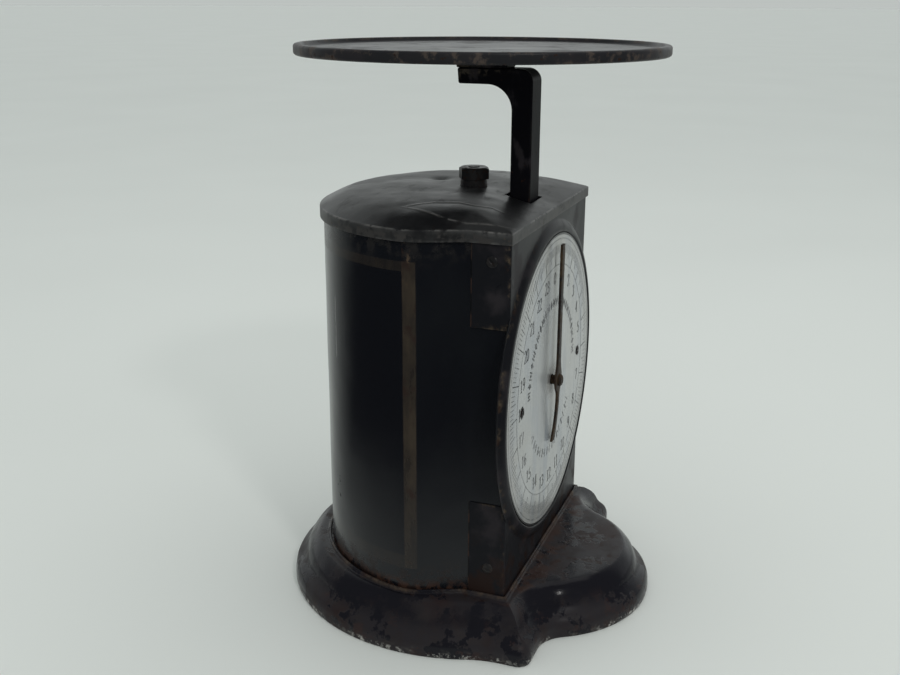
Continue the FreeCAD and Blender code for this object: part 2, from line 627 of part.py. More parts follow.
def build_carriage():
    underside = "platform_top - rim_height"
    tray = turned("XZ_Plane", [
        ("platform_screw_radius", underside), ("platform_radius - 1", underside),
        ("platform_radius", underside + " + 1"), ("platform_radius", "platform_top - 1"),
        ("platform_radius - 1", "platform_top"), ("platform_radius - rim_width", "platform_top"),
        ("platform_radius - rim_width - 2", "platform_top - recess_depth"),
        ("platform_head_radius", "platform_top - recess_depth"),
        ("platform_screw_radius", "platform_top - recess_depth - 2")], "Z_Axis")
    keep("platform", place(tray, ("0", "platform_y", "0")))

    head = cone("platform_screw_radius", "platform_head_radius", "2",
                ("0", "platform_y", "platform_top - recess_depth - 2"))
    shank = rod("platform_screw_radius", "platform_top - recess_depth - 2 - arm_top + 6",
                ("0", "platform_y", "arm_top - 6"))
    keep("platform_screw", fuse(head, shank))

    pad = box(("-pad_width / 2", "pad_front", "arm_top"), ("pad_width / 2", "pad_rear", underside))
    keep("platform_pad", cut(pad, rod("platform_screw_radius", "20", ("0", "platform_y", "arm_top - 5"))))

    under = "arm_top - arm_thick"
    casting = padded("YZ_Plane", [
        ("column_front", "column_foot"), ("column_rear", "column_foot"), ("column_rear", under),
        ("arm_rear", under), ("arm_rear", "arm_top"), ("column_front", "arm_top")], "arm_width", True)
    round_edges(casting, "crook_radius", [(0, size("column_rear"), size(under))])
    round_edges(casting, "arm_corner", [(0, size("column_front"), size("arm_top"))])
    half = size("arm_width") / 2
    level = size("column_foot") + 20
    round_edges(casting, "arm_edge", [(side * half, size(edge), level)
                                 for side in (-1, 1) for edge in ("column_front", "column_rear")])
    arm_holes = [rod("platform_screw_radius", "6", ("0", "platform_y", "arm_top - 6"))]
    arm_holes += [rod("screw_arm", "8", ("0", "column_rear - 8", height), "y")
                  for height in ARM_SCREWS]
    keep("arm", cut(casting, *arm_holes))

    rear = "column_rear + bar_thick"
    bar = box(("-bar_half", "column_rear", "bar_low"), ("bar_half", rear, "bar_high"))
    slot = box(("-slot_half", "column_rear - 1", "dial_z - 8"),
               ("slot_half", rear + " + 1", "dial_z + travel + 8"))
    bar_holes = [slot]
    bar_holes += [rod("screw_arm", "8", ("0", "column_rear - 1", height), "y")
                  for height in ARM_SCREWS]
    bar_holes += [rod("screw_small", "8", ("8", "column_rear - 1", height), "y") for height in RACK_SCREWS]
    bar_holes += [rod("screw_small", "8", ("0", "column_rear - 1", height), "y")
                  for height in ("upper_link_z", "lower_link_z")]
    bar_holes += [rod("screw_sheet", "8", ("%d * 5" % side, "column_rear - 1", "bar_low + 9"), "y")
                  for side in (-1, 1)]
    keep("drop_bar", cut(bar, *bar_holes))
    keep("arm_screws", group(
        screw("screw_arm", "bar_thick + 8", "3.2", "1.8", ("0", rear, height), "y", -1)
        for height in ARM_SCREWS))

    for name, height in (("upper_link_block", "upper_link_z"), ("lower_link_block", "lower_link_z")):
        block = box(("-block_half", rear, height + " - 4"),
                    ("block_half", rear + " + block_depth", height + " + 4"))
        pin_y = rear + " + block_depth / 2"
        holes = [rod("pin_radius", "30", ("-15", pin_y, height), "x")]
        holes += [rod("screw_small", "2", ("0", rear + " - 0.5", height), "y")]
        keep(name, cut(block, *holes))
        keep(name.replace("block", "pin"), rod("pin_radius", "2 * (link_inner + link_sheet + 1)",
                                               ("-link_inner - link_sheet - 1", pin_y, height), "x"))
    keep("block_screws", group(
        screw("screw_small", "bar_thick + 1.5", "2.4", "1.2", ("0", "column_rear", height), "y")
        for height in ("upper_link_z", "lower_link_z")))

    eye_foot = "foot_eye_z - eye_radius - eye_wire"
    flange = box(("-8", rear, "bar_low + 2"), ("8", rear + " + 3", "bar_low + 15"))
    tongue = box(("-5", rear, eye_foot + " - 1.5"), ("5", "hanger_y + 6", eye_foot + " + 1.5"))
    eye = ring("eye_radius", "eye_wire", ("0", "hanger_y", "foot_eye_z"), "y")
    foot_holes = [rod("screw_sheet", "8", ("%d * 5" % side, rear + " - 1", "bar_low + 9"), "y")
                  for side in (-1, 1)]
    keep("spring_foot", cut(fuse(flange, tongue, eye), *foot_holes))
    keep("foot_screws", group(
        screw("screw_sheet", "bar_thick + 3", "2.8", "1.4",
              ("%d * 5" % side, "column_rear", "bar_low + 9"), "y")
        for side in (-1, 1)))


RACK_SCREWS = ("dial_z - 11", "dial_z + travel + 11")


# ---------------------------------------------------------------- rack, pinion and pointer

def tooth_step():
    """Distance between teeth: one turn of the pinion takes up the whole travel."""
    return size("travel / gear_teeth")


def rack_strip():
    step = tooth_step()
    pitch_line = size("travel / 2 / pi")
    tip = pitch_line - size("addendum")
    root = pitch_line + size("dedendum")
    half = size("tooth_width") / 2
    low, high = size("dial_z") - 15, size("dial_z + travel") + 15
    back = size("bar_half") - 0.4
    points = [(back, low), (root, low)]
    first = -4
    last = int(size("gear_teeth")) + 4
    for number in range(first, last):
        middle = size("dial_z") + (number + 0.5) * step
        root_half = half + (root - pitch_line) * TOOTH_SLOPE
        tip_half = half - (pitch_line - tip) * TOOTH_SLOPE
        points += [(root, middle - root_half), (tip, middle - tip_half),
                   (tip, middle + tip_half), (root, middle + root_half)]
    points += [(root, high), (back, high), (back, low)]
    start = size("rack_y")
    wire = Part.makePolygon([vector(x, start, z) for x, z in points])
    strip = Part.Face(wire).extrude(vector(0, size("column_rear") - start, 0))
    for height in RACK_SCREWS:
        mouth = vector(8, start - 1, size(height))
        strip = strip.cut(Part.makeCylinder(size("screw_small"), 10, mouth, vector(0, 1, 0)))
    return strip


def pinion_gear():
    teeth = int(size("gear_teeth"))
    pitch_radius = size("travel / 2 / pi")
    root = pitch_radius - size("dedendum")
    tip = pitch_radius + size("addendum")
    half = size("tooth_width") / 2
    points = []
    for number in range(teeth):
        middle = 2 * math.pi * number / teeth
        for radius, width in ((root, half + 0.1), (pitch_radius, half), (tip, half / 2)):
            points.append((radius, middle - width / radius))
        for radius, width in ((tip, half / 2), (pitch_radius, half), (root, half + 0.1)):
            points.append((radius, middle + width / radius))
    start = size("rack_y") + 0.4
    height = size("dial_z")
    corners = [vector(radius * math.cos(angle), start, height - radius * math.sin(angle))
               for radius, angle in points]
    gear = Part.Face(Part.makePolygon(corners + corners[:1])).extrude(vector(0, size("gear_width"), 0))
    bore = Part.makeCylinder(size("arbor_radius"), 20, vector(0, start - 5, height), vector(0, 1, 0))
    return gear.cut(bore)


def build_drive():
    keep("rack", coded(rack_strip()))
    keep("rack_screws", group(
        screw("screw_small", "column_rear + bar_thick - rack_y", "2.2", "1.2", ("8", "rack_y", height), "y")
        for height in RACK_SCREWS))
    keep("pinion", coded(pinion_gear()))
    keep("arbor", rod("arbor_radius", "arbor_rear - arbor_front", ("0", "arbor_front", "dial_z"), "y"))

    cap = "pointer_y - 1.8"
    back = "pointer_y + pointer_thick"
    dial_face = "panel_front - plateau - dial_thick"
    hub = turned("XY_Plane", [("arbor_radius", cap), ("hub_cap - 0.8", cap), ("hub_cap", cap + " + 0.8"),
                              ("hub_cap", "pointer_y"), ("hub_neck", "pointer_y"), ("hub_neck", back),
                              ("hub_sleeve", back), ("hub_sleeve", dial_face + " - 0.3"),
                              ("arbor_radius", dial_face + " - 0.3")], "Y_Axis")
    keep("pointer_hub", place(hub, ("0", "0", "dial_z")))
    hand = padded("XZ_Plane", [
        ("-pointer_half", "0"), ("-1.4", "-8"), ("-1.2", "-20"), ("-2.2", "-24"), ("-2.4", "-pointer_tail"),
        ("2.4", "-pointer_tail"), ("2.2", "-24"), ("1.2", "-20"), ("1.4", "-8"), ("pointer_half", "0"),
        ("pointer_half - 0.4", "pointer_tip - 3"), ("0.6", "pointer_tip"), ("-0.6", "pointer_tip"),
        ("-pointer_half + 0.4", "pointer_tip - 3")], "pointer_thick", reverse=True)
    place(hand, ("0", "pointer_y", "dial_z"))
    disc = rod("pointer_disc", "pointer_thick", ("0", "pointer_y", "dial_z"), "y")
    keep("pointer", cut(fuse(hand, disc), rod("hub_neck", "4", ("0", "pointer_y - 1", "dial_z"), "y")))

    build_yoke()


def build_yoke():
    """The strap behind the dial that steps back round the bar, with its two bearings."""
    half_height = "yoke_height / 2"
    low, high = "dial_z - " + half_height, "dial_z + " + half_height
    front = "panel_front + panel_sheet - plateau"
    outer = "yoke_x + yoke_sheet"
    pieces = []
    for side in (-1, 1):
        wing = ("-yoke_reach", "-(yoke_x)") if side < 0 else ("yoke_x", "yoke_reach")
        leg = ("-(%s)" % outer, "-yoke_x") if side < 0 else ("yoke_x", outer)
        pieces.append(box((wing[0], front, low), (wing[1], front + " + yoke_sheet", high)))
        pieces.append(box((leg[0], front, low), (leg[1], "yoke_rear", high)))
    pieces.append(box(("-(%s)" % outer, "yoke_rear - yoke_sheet", low), (outer, "yoke_rear", high)))
    rivet_y = front + " + 7"
    holes = [rod("screw_sheet", "10", ("%d * dial_screw_x" % side, front + " - 3", "dial_z"), "y")
             for side in (-1, 1)]
    holes.append(rod("bush_radius", "10", ("0", "yoke_rear - 5", "dial_z"), "y"))
    holes.append(rod("rivet_radius", "60", ("-30", rivet_y, "dial_z"), "x"))
    keep("arbor_yoke", cut(fuse(*pieces), *holes))

    plate_y = front + " + yoke_sheet"
    plate = [box(("-yoke_x", plate_y, "dial_z - 5"), ("yoke_x", plate_y + " + 2", "dial_z + 5"))]
    for start, end in (("-yoke_x", "-yoke_x + 2"), ("yoke_x - 2", "yoke_x")):
        plate.append(box((start, plate_y, "dial_z - 5"), (end, plate_y + " + 8", "dial_z + 5")))
    bush_hole = rod("bush_radius", "10", ("0", plate_y + " - 3", "dial_z"), "y")
    keep("front_bush_plate", cut(fuse(*plate), bush_hole,
                                 rod("rivet_radius", "60", ("-30", rivet_y, "dial_z"), "x")))
    keep("yoke_rivets", group([
        screw("rivet_radius", "5.2", "2.2", "0.8", ("-yoke_x - yoke_sheet", rivet_y, "dial_z"), "x"),
        screw("rivet_radius", "5.2", "2.2", "0.8", ("yoke_x + yoke_sheet", rivet_y, "dial_z"), "x", -1)]))

    for name, start in (("front_bush", plate_y), ("rear_bush", "yoke_rear - yoke_sheet")):
        inner = "arbor_radius + running_gap"
        face = start + " + 2"
        bush = turned("XY_Plane", [(inner, start + " - 1"), ("bush_radius", start + " - 1"),
                                   ("bush_radius", face), ("bush_radius + 1.4", face),
                                   ("bush_radius + 1.4", face + " + 1.2"),
                                   (inner, face + " + 1.2")], "Y_Axis")
        keep(name, place(bush, ("0", "0", "dial_z")))


# ---------------------------------------------------------------- check links

def build_links():
    """A stirrup on each fixed rod: round hubs at the rod, slotted eyes over the pin on the bar."""
    middle = "post_front + post_depth / 2"
    for name, height in (("upper_link", "upper_link_z"), ("lower_link", "lower_link_z")):
        pieces, holes = [], []
        for start in ("-link_inner - link_sheet", "link_inner"):
            end = start + " + link_sheet"
            pieces.append(box((start, "-link_length - 1", "-3"), (end, "0", "3")))
            pieces.append(rod("4.5", "link_sheet", (start, "0", "0"), "x"))
            pieces.append(rod("4", "link_sheet", (start, "-link_length - 0.8", "0"), "x"))
        pieces.append(box(("-link_inner - 1", "-15", "-3"), ("link_inner + 1", "-12.5", "3")))
        holes.append(rod("rod_radius + running_gap", "40", ("-20", "0", "0"), "x"))
        for offset in ("0", "1.6"):
            holes.append(rod("pin_radius + 0.3", "40", ("-20", "-link_length - " + offset, "0"), "x"))
        holes.append(box(("-20", "-link_length - 1.6", "-pin_radius - 0.3"),
                         ("20", "-link_length", "pin_radius + 0.3")))
        link = cut(fuse(*pieces), *holes)
        keep(name, place(link, ("0", middle, height + " - travel / 2"), ((1, 0, 0), -LINK_ANGLE)))


# ---------------------------------------------------------------- build, check and write

build_outside()
build_case_brackets()
build_frame()
build_suspension()
build_carriage()
build_drive()
build_links()
doc.recompute()

for item in doc.Objects:
    if "Invalid" in item.State or "Error" in item.State:
        raise RuntimeError("%s (%s) failed: %s" % (item.Name, item.Label, item.State))
for item in sub_parts:
    if item.Shape.isNull() or not item.Shape.isValid():
        raise RuntimeError("%s has no valid shape" % item.Label)

os.makedirs("parts", exist_ok=True)
for item in sub_parts:
    item.Shape.exportStep("parts/%s.step" % item.Label)
    limits = item.Shape.BoundBox
    print("%-18s %2d solid(s) %9.1f mm3  x %.1f..%.1f y %.1f..%.1f z %.1f..%.1f" % (
        item.Label, len(item.Shape.Solids), item.Shape.Volume, limits.XMin, limits.XMax,
        limits.YMin, limits.YMax, limits.ZMin, limits.ZMax))
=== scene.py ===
import math

import bmesh
import bpy
from mathutils import Matrix, Vector, noise


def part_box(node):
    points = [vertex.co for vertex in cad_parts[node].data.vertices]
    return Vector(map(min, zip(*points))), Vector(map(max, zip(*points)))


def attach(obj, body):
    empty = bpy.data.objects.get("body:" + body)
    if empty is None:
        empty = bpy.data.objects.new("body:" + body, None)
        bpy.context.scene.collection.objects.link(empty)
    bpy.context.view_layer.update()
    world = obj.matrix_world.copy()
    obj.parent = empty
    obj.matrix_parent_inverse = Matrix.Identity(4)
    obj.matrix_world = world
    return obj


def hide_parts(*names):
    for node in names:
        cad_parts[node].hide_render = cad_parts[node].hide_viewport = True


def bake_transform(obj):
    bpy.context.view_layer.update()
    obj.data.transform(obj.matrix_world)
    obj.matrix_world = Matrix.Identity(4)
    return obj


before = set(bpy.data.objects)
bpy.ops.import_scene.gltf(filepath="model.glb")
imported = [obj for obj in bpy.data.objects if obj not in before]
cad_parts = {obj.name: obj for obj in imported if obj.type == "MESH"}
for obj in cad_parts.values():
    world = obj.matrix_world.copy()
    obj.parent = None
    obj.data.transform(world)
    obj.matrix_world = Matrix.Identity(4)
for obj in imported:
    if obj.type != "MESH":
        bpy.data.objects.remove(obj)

# Looks for a household dial scale. Lengths are millimetres until a mesh is made.

MM = 0.001
scene = bpy.context.scene
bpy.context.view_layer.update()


def span(node):
    """A CAD node's lowest and highest corner in millimetres."""
    low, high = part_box(node)
    return Vector(low) / MM, Vector(high) / MM


# ---------------------------------------------------------------- sizes shared by several pieces

case_low, case_high = span("case_wrapper")
lid_low, lid_high = span("lid")
foot_low, foot_high = span("base_casting")
dial_low, dial_high = span("dial_plate")
tray_low, tray_high = span("platform")
arm_low, arm_high = span("arm")
nut_low, nut_high = span("zero_nut")
collar_low, collar_high = span("nut_collar")
pointer_low, pointer_high = span("pointer")
hub_low, hub_high = span("pointer_hub")

CASE_RADIUS = 86.9
CASE_Y = case_high.y - CASE_RADIUS
NECK_HALF = 74.9
SHOULDER_Y = -22.0
SHOULDER_ANGLE = math.radians(23.5)
SHOULDER_BLEND = 25.0
SHEET = 0.9
PANEL_SHEET = 0.8
PANEL_BACK = case_low.y
PANEL_FACE = PANEL_BACK - PANEL_SHEET
PANEL_HALF = NECK_HALF + PANEL_SHEET
EAR_DEPTH = 20.4
DIAL_Z = (dial_low.z + dial_high.z) / 2
DIAL_FACE = dial_low.y
BEAD_RADIUS = 92.6
HANGER_Y = (nut_low.y + nut_high.y) / 2
COLUMN_REAR = -22.8


# ---------------------------------------------------------------- mesh helpers

def make(name, points, faces, finish, body, stands_for=(), sharp=32.0, marks=None):
    """A piece from points in millimetres. marks gives each point's wear, from 0 to 1."""
    mesh = bpy.data.meshes.new(name)
    mesh.from_pydata([(x * MM, y * MM, z * MM) for x, y, z in points], [], faces)
    if marks is not None:
        layer = mesh.attributes.new("wear", "FLOAT", "POINT")
        layer.data.foreach_set("value", marks)
    tidy(mesh, sharp)
    mesh.materials.append(finish)
    piece = bpy.data.objects.new(name, mesh)
    scene.collection.objects.link(piece)
    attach(piece, body)
    if stands_for:
        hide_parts(*stands_for)
    return piece


def tidy(mesh, sharp):
    """Merge doubled points, face every shell outward and shade it smooth up to an angle."""
    work = bmesh.new()
    work.from_mesh(mesh)
    bmesh.ops.remove_doubles(work, verts=work.verts, dist=2e-6)
    bmesh.ops.dissolve_degenerate(work, edges=work.edges, dist=1e-7)
    bmesh.ops.recalc_face_normals(work, faces=work.faces)
    work.to_mesh(mesh)
    work.free()
    for face in mesh.polygons:
        face.use_smooth = True
    mesh.set_sharp_from_angle(angle=math.radians(sharp))


def skin(rings, around=True, loop=False):
    """Points and faces of a surface through rings of equal length."""
    count = len(rings[0])
    points = [point for ring in rings for point in ring]
    faces = []
    for row in range(len(rings) if loop else len(rings) - 1):
        low, high = row * count, (row + 1) % len(rings) * count
        for here in range(count if around else count - 1):
            after = (here + 1) % count
            faces.append((low + here, low + after, high + after, high + here))
    return points, faces


def lathe(profile, centre, axis="z", steps=160, loop=True):
    """A profile of (radius, height) turned about an axis through a centre."""
    rings = []
    for radius, height in profile:
        ring = []
        for step in range(steps):
            turn = 2 * math.pi * step / steps
            u, v = radius * math.cos(turn), radius * math.sin(turn)
            offset = {"x": (height, u, v), "y": (u, height, v), "z": (u, v, height)}[axis]
            ring.append(tuple(c + o for c, o in zip(centre, offset)))
        rings.append(ring)
    return skin(rings, True, loop)


def slab(outer, inner):
    """A closed plate between two grids of points of the same size."""
    rows, columns = len(outer), len(outer[0])
    points = [p for row in outer for p in row] + [p for row in inner for p in row]
    far = rows * columns
    faces = []
    for i in range(rows - 1):
        for j in range(columns - 1):
            a, b = i * columns + j, (i + 1) * columns + j
            faces.append((a, a + 1, b + 1, b))
            faces.append((far + a, far + b, far + b + 1, far + a + 1))
    edge = [(0, j) for j in range(columns)] + [(i, columns - 1) for i in range(1, rows)]
    edge += [(rows - 1, j) for j in range(columns - 2, -1, -1)] + [(i, 0) for i in range(rows - 2, 0, -1)]
    for k, (i, j) in enumerate(edge):
        m, n = edge[(k + 1) % len(edge)]
        a, b = i * columns + j, m * columns + n
        faces.append((a, far + a, far + b, b))
    return points, faces


def rounded(corners, closed=True, steps=5):
    """A run of points through corners (u, v, radius), each corner rounded by its radius."""
    run = []
    for index, (u, v, radius) in enumerate(corners):
        here = Vector((u, v))
        end = not closed and index in (0, len(corners) - 1)
        if radius <= 0 or end:
            run.append((u, v))
            continue
        back = (Vector(corners[index - 1][:2]) - here).normalized()
        ahead = (Vector(corners[(index + 1) % len(corners)][:2]) - here).normalized()
        half = back.angle(ahead) / 2
        middle = here + (back + ahead).normalized() * (radius / math.sin(half))
        first = here + back * (radius / math.tan(half)) - middle
        last = here + ahead * (radius / math.tan(half)) - middle
        for step in range(steps + 1):
            arm = first.lerp(last, step / steps).normalized() * radius
            run.append(tuple(middle + arm))
    return run


def arc(centre, radius, start, end, steps):
    """Points on a circle between two angles in degrees."""
    turns = [math.radians(start + (end - start) * step / steps) for step in range(steps + 1)]
    return [(centre[0] + radius * math.cos(t), centre[1] + radius * math.sin(t)) for t in turns]


def angle_of(point, centre):
    return math.degrees(math.atan2(point[1] - centre[1], point[0] - centre[0]))


def lengths(run):
    """Distance along a run of points at each of its points."""
    total = [0.0]
    for a, b in zip(run, run[1:]):
        total.append(total[-1] + math.dist(a, b))
    return total


def spread(run, shares):
    """Points of a run at the given shares of its length."""
    total = lengths(run)
    found = []
    index = 0
    for share in shares:
        goal = share * total[-1]
        while index < len(run) - 2 and total[index + 1] < goal:
            index += 1
        step = total[index + 1] - total[index]
        part = 0.0 if step == 0 else (goal - total[index]) / step
        found.append(tuple(a + (b - a) * part for a, b in zip(run[index], run[index + 1])))
    return found


def even(count):
    return [step / count for step in range(count + 1)]


def mirrored(half):
    """A closed ring from a half that starts and ends on the middle plane."""
    return half + [(-x, *rest) for x, *rest in reversed(half[1:-1])]


def smooth_run(knots, steps):
    """A Catmull-Rom run through knots."""
    ends = [tuple(2 * a - b for a, b in zip(knots[0], knots[1]))] + knots
    ends.append(tuple(2 * a - b for a, b in zip(knots[-1], knots[-2])))
    run = []
    for k in range(1, len(ends) - 2):
        for step in range(steps):
            t = step / steps
            weights = (-t ** 3 + 2 * t ** 2 - t, 3 * t ** 3 - 5 * t ** 2 + 2,
                       -3 * t ** 3 + 4 * t ** 2 + t, t ** 3 - t ** 2)
            run.append(tuple(sum(w * p[c] for w, p in zip(weights, ends[k - 1:k + 3])) / 2
                             for c in range(len(knots[0]))))
    return run + [knots[-1]]


def ripple(x, y, z, size, seed=0.0):
    """Soft noise from about -1 to 1 at a point in millimetres."""
    return noise.noise(Vector((x / size + seed, y / size - seed, z / size + 2 * seed)))


def carve(piece, low, high, turn=None):
    """Cut a block out of a piece and keep the result as its mesh."""
    corners = [(x, y, z) for x in (low[0], high[0]) for y in (low[1], high[1]) for z in (low[2], high[2])]
    if turn is not None:
        middle = Vector(low).lerp(Vector(high), 0.5)
        corners = [tuple(middle + turn @ (Vector(c) - middle)) for c in corners]
    mesh = bpy.data.meshes.new("cutter")
    mesh.from_pydata([tuple(v * MM for v in c) for c in corners], [],
                     [(0, 1, 3, 2), (4, 6, 7, 5), (0, 4, 5, 1), (2, 3, 7, 6), (0, 2, 6, 4), (1, 5, 7, 3)])
    tidy(mesh, 30.0)
    cutter = bpy.data.objects.new("cutter", mesh)
    scene.collection.objects.link(cutter)
    change = piece.modifiers.new("carve", "BOOLEAN")
    change.operation = "DIFFERENCE"
    change.solver = "EXACT"
    change.object = cutter
    bake(piece)
    bpy.data.objects.remove(cutter)


def bake(piece):
    """Keep what the piece's modifiers make as its own mesh."""
    bpy.context.view_layer.update()
    depsgraph = bpy.context.evaluated_depsgraph_get()
    mesh = bpy.data.meshes.new_from_object(piece.evaluated_get(depsgraph))
    piece.modifiers.clear()
    piece.data = mesh


def soften(piece, width, segments=3, limit=40.0):
    """Round a piece's sharp edges."""
    bevel = piece.modifiers.new("soften", "BEVEL")
    bevel.width = width * MM
    bevel.segments = segments
    bevel.limit_method = "ANGLE"
    bevel.angle_limit = math.radians(limit)
    bevel.harden_normals = False


# ---------------------------------------------------------------- finishes

class Finish:
    """A node material built up in layers over a base colour, roughness and height."""

    def __init__(self, name, color, rough, **sockets):
        self.material = bpy.data.materials.new(name)
        self.material.use_nodes = True
        self.tree = self.material.node_tree
        self.tree.nodes.clear()
        self.shader = self.tree.nodes.new("ShaderNodeBsdfPrincipled")
        output = self.tree.nodes.new("ShaderNodeOutputMaterial")
        self.tree.links.new(self.shader.outputs[0], output.inputs[0])
        self.place = self.node("TexCoord").outputs["Object"]
        self.axes = self.node("SeparateXYZ", self.place).outputs
        self.color, self.rough, self.height = (*color, 1.0), rough, 0.0
        for socket, value in sockets.items():
            self.shader.inputs[socket.replace("_", " ")].default_value = value

    def node(self, kind, *values, **settings):
        made = self.tree.nodes.new("ShaderNode" + kind)
        for key, value in settings.items():
            setattr(made, key, value)
        for socket, value in zip(made.inputs, values):
            self.feed(socket, value)
        return made

    def feed(self, socket, value):
        if isinstance(value, bpy.types.NodeSocket):
            self.tree.links.new(value, socket)
        else:
            socket.default_value = value

    def math(self, operation, a, b=0.0, c=0.0):
        return self.node("Math", a, b, c, operation=operation).outputs[0]

    def along(self, axis):
        """The place along an axis in millimetres."""
        return self.math("DIVIDE", self.axes["xyz".index(axis)], MM)

    def step(self, value, low, high):
        """0 below low and 1 above high, or the other way round where low is the larger."""
        made = self.node("MapRange", value, low, high, 0.0, 1.0, interpolation_type="SMOOTHSTEP")
        return made.outputs[0]

    def band(self, value, low, high, soft):
        return self.math("MULTIPLY", self.step(value, low - soft, low + soft),
                         self.step(value, high + soft, high - soft))

    def noise(self, size, detail=4.0, stretch=(1.0, 1.0, 1.0), seed=0.0, rough=0.55):
        scale = tuple(1 / (size * MM * s) for s in stretch)
        mapped = self.node("Mapping", self.place, (seed, 2 * seed, -seed), (0.0, 0.0, 0.0), scale)
        made = self.node("TexNoise")
        self.feed(made.inputs["Vector"], mapped.outputs[0])
        made.inputs["Scale"].default_value = 1.0
        made.inputs["Detail"].default_value = detail
        made.inputs["Roughness"].default_value = rough
        return made.outputs[0]

    def patches(self, size, cover, soft=0.03, **settings):
        """Irregular patches; cover is roughly the share of the surface that they take."""
        edge = 0.5 + (0.5 - cover) * 0.5
        return self.step(self.noise(size, **settings), edge - soft, edge + soft)

    def both(self, a, b):
        return self.math("MULTIPLY", a, b)

    def either(self, a, b):
        return self.math("MAXIMUM", a, b)

    def less(self, mask, share):
        return self.math("MULTIPLY", mask, share)

    def without(self, mask):
        return self.math("SUBTRACT", 1.0, mask)

    def attribute(self, name):
        return self.node("Attribute", attribute_name=name).outputs["Fac"]

    def layer(self, mask, color=None, rough=None, height=None):
        """Lay a colour, a roughness or a height over what is there, where the mask is 1."""
        if color is not None:
            mixed = self.node("Mix", data_type="RGBA")
            self.feed(mixed.inputs["Factor"], mask)
            self.feed(mixed.inputs[6], self.color)
            self.feed(mixed.inputs[7], (*color, 1.0) if isinstance(color, tuple) else color)
            self.color = mixed.outputs[2]
        if rough is not None:
            mixed = self.node("Mix", data_type="FLOAT")
            self.feed(mixed.inputs[0], mask)
            self.feed(mixed.inputs[2], self.rough)
            self.feed(mixed.inputs[3], rough)
            self.rough = mixed.outputs[0]
        if height is not None:
            self.height = self.math("MULTIPLY_ADD", mask, height, self.height)

    def done(self, bump=0.4):
        """Close the material; heights are in millimetres."""
        self.feed(self.shader.inputs["Base Color"], self.color)
        self.feed(self.shader.inputs["Roughness"], self.rough)
        made = self.node("Bump")
        made.inputs["Strength"].default_value = bump
        made.inputs["Distance"].default_value = MM
        self.feed(made.inputs["Height"], self.height)
        self.feed(self.shader.inputs["Normal"], made.outputs[0])
        return self.material


COLD_BLACK = (0.0052, 0.0058, 0.0084)
WORN_BLACK = (0.0240, 0.0208, 0.0240)
DUST = (0.075, 0.072, 0.068)
RUST = (0.062, 0.026, 0.015)
DARK_RUST = (0.026, 0.012, 0.008)
TAN = (0.105, 0.072, 0.048)
CHIP = (0.36, 0.35, 0.33)
GOLD = (0.043, 0.031, 0.021)


def foot_finish():
    f = Finish("foot_paint", (0.0105, 0.0100, 0.0135), 0.13, Specular_IOR_Level=0.18)
    height = f.along("z")
    f.layer(f.noise(22.0, seed=1.0), rough=0.2)
    worn = f.patches(24.0, 0.55, 0.02, detail=8.0, rough=0.66, seed=3.0)
    low = f.step(height, 22.0, 10.0)
    deck = f.step(height, 26.4, 27.1)
    worn = f.both(worn, f.either(f.either(low, deck), f.patches(40.0, 0.3, 0.1, seed=8.0)))
    f.layer(worn, WORN_BLACK, 0.4, -0.12)
    f.layer(f.both(worn, f.patches(9.0, 0.42, 0.12, seed=4.0)), (0.024, 0.019, 0.020), 0.5)
    f.layer(f.both(worn, f.patches(32.0, 0.36, 0.1, detail=5.0, seed=5.0)), (0.024, 0.014, 0.014), 0.46)
    rust = f.patches(15.0, 0.32, 0.03, detail=9.0, rough=0.7, seed=6.0)
    f.layer(f.both(rust, f.less(f.step(height, 24.0, 8.0), 0.5)), (0.042, 0.021, 0.018), 0.55, 0.04)
    f.layer(f.both(f.patches(7.0, 0.30, 0.05, detail=7.0, seed=12.0), f.less(deck, 0.6)), DARK_RUST, 0.6)
    near_lip = f.both(f.band(f.along("y"), -62.0, -46.5, 5.0), f.step(height, 26.0, 27.0))
    near_lip = f.both(near_lip, f.patches(13.0, 0.5, 0.05, detail=8.0, rough=0.7, seed=27.0))
    f.layer(f.less(near_lip, 0.4), RUST, 0.6)
    foot = f.both(f.step(height, 4.2, 2.4), f.patches(3.0, 0.42, 0.03, detail=7.0, rough=0.72, seed=15.0))
    foot = f.both(foot, f.patches(30.0, 0.62, 0.08, detail=3.0, seed=14.0))
    foot = f.both(foot, f.step(f.along("x"), 30.0, -20.0))
    f.layer(foot, CHIP, 0.6, -0.08)
    f.layer(f.both(f.step(height, 7.0, 2.0), f.patches(6.0, 0.26, 0.08, detail=6.0, seed=16.0)), DUST, 0.6)
    wear = f.attribute("wear")
    rubbed = f.both(wear, f.patches(16.0, 0.4, 0.1, detail=7.0, rough=0.7, seed=18.0))
    f.layer(f.less(rubbed, 0.55), TAN, 0.45, -0.03)
    f.layer(f.noise(1.1, 3.0, seed=20.0), height=0.05)
    f.layer(f.noise(5.0, 3.0, seed=21.0), height=0.12)
    return f.done(0.7)


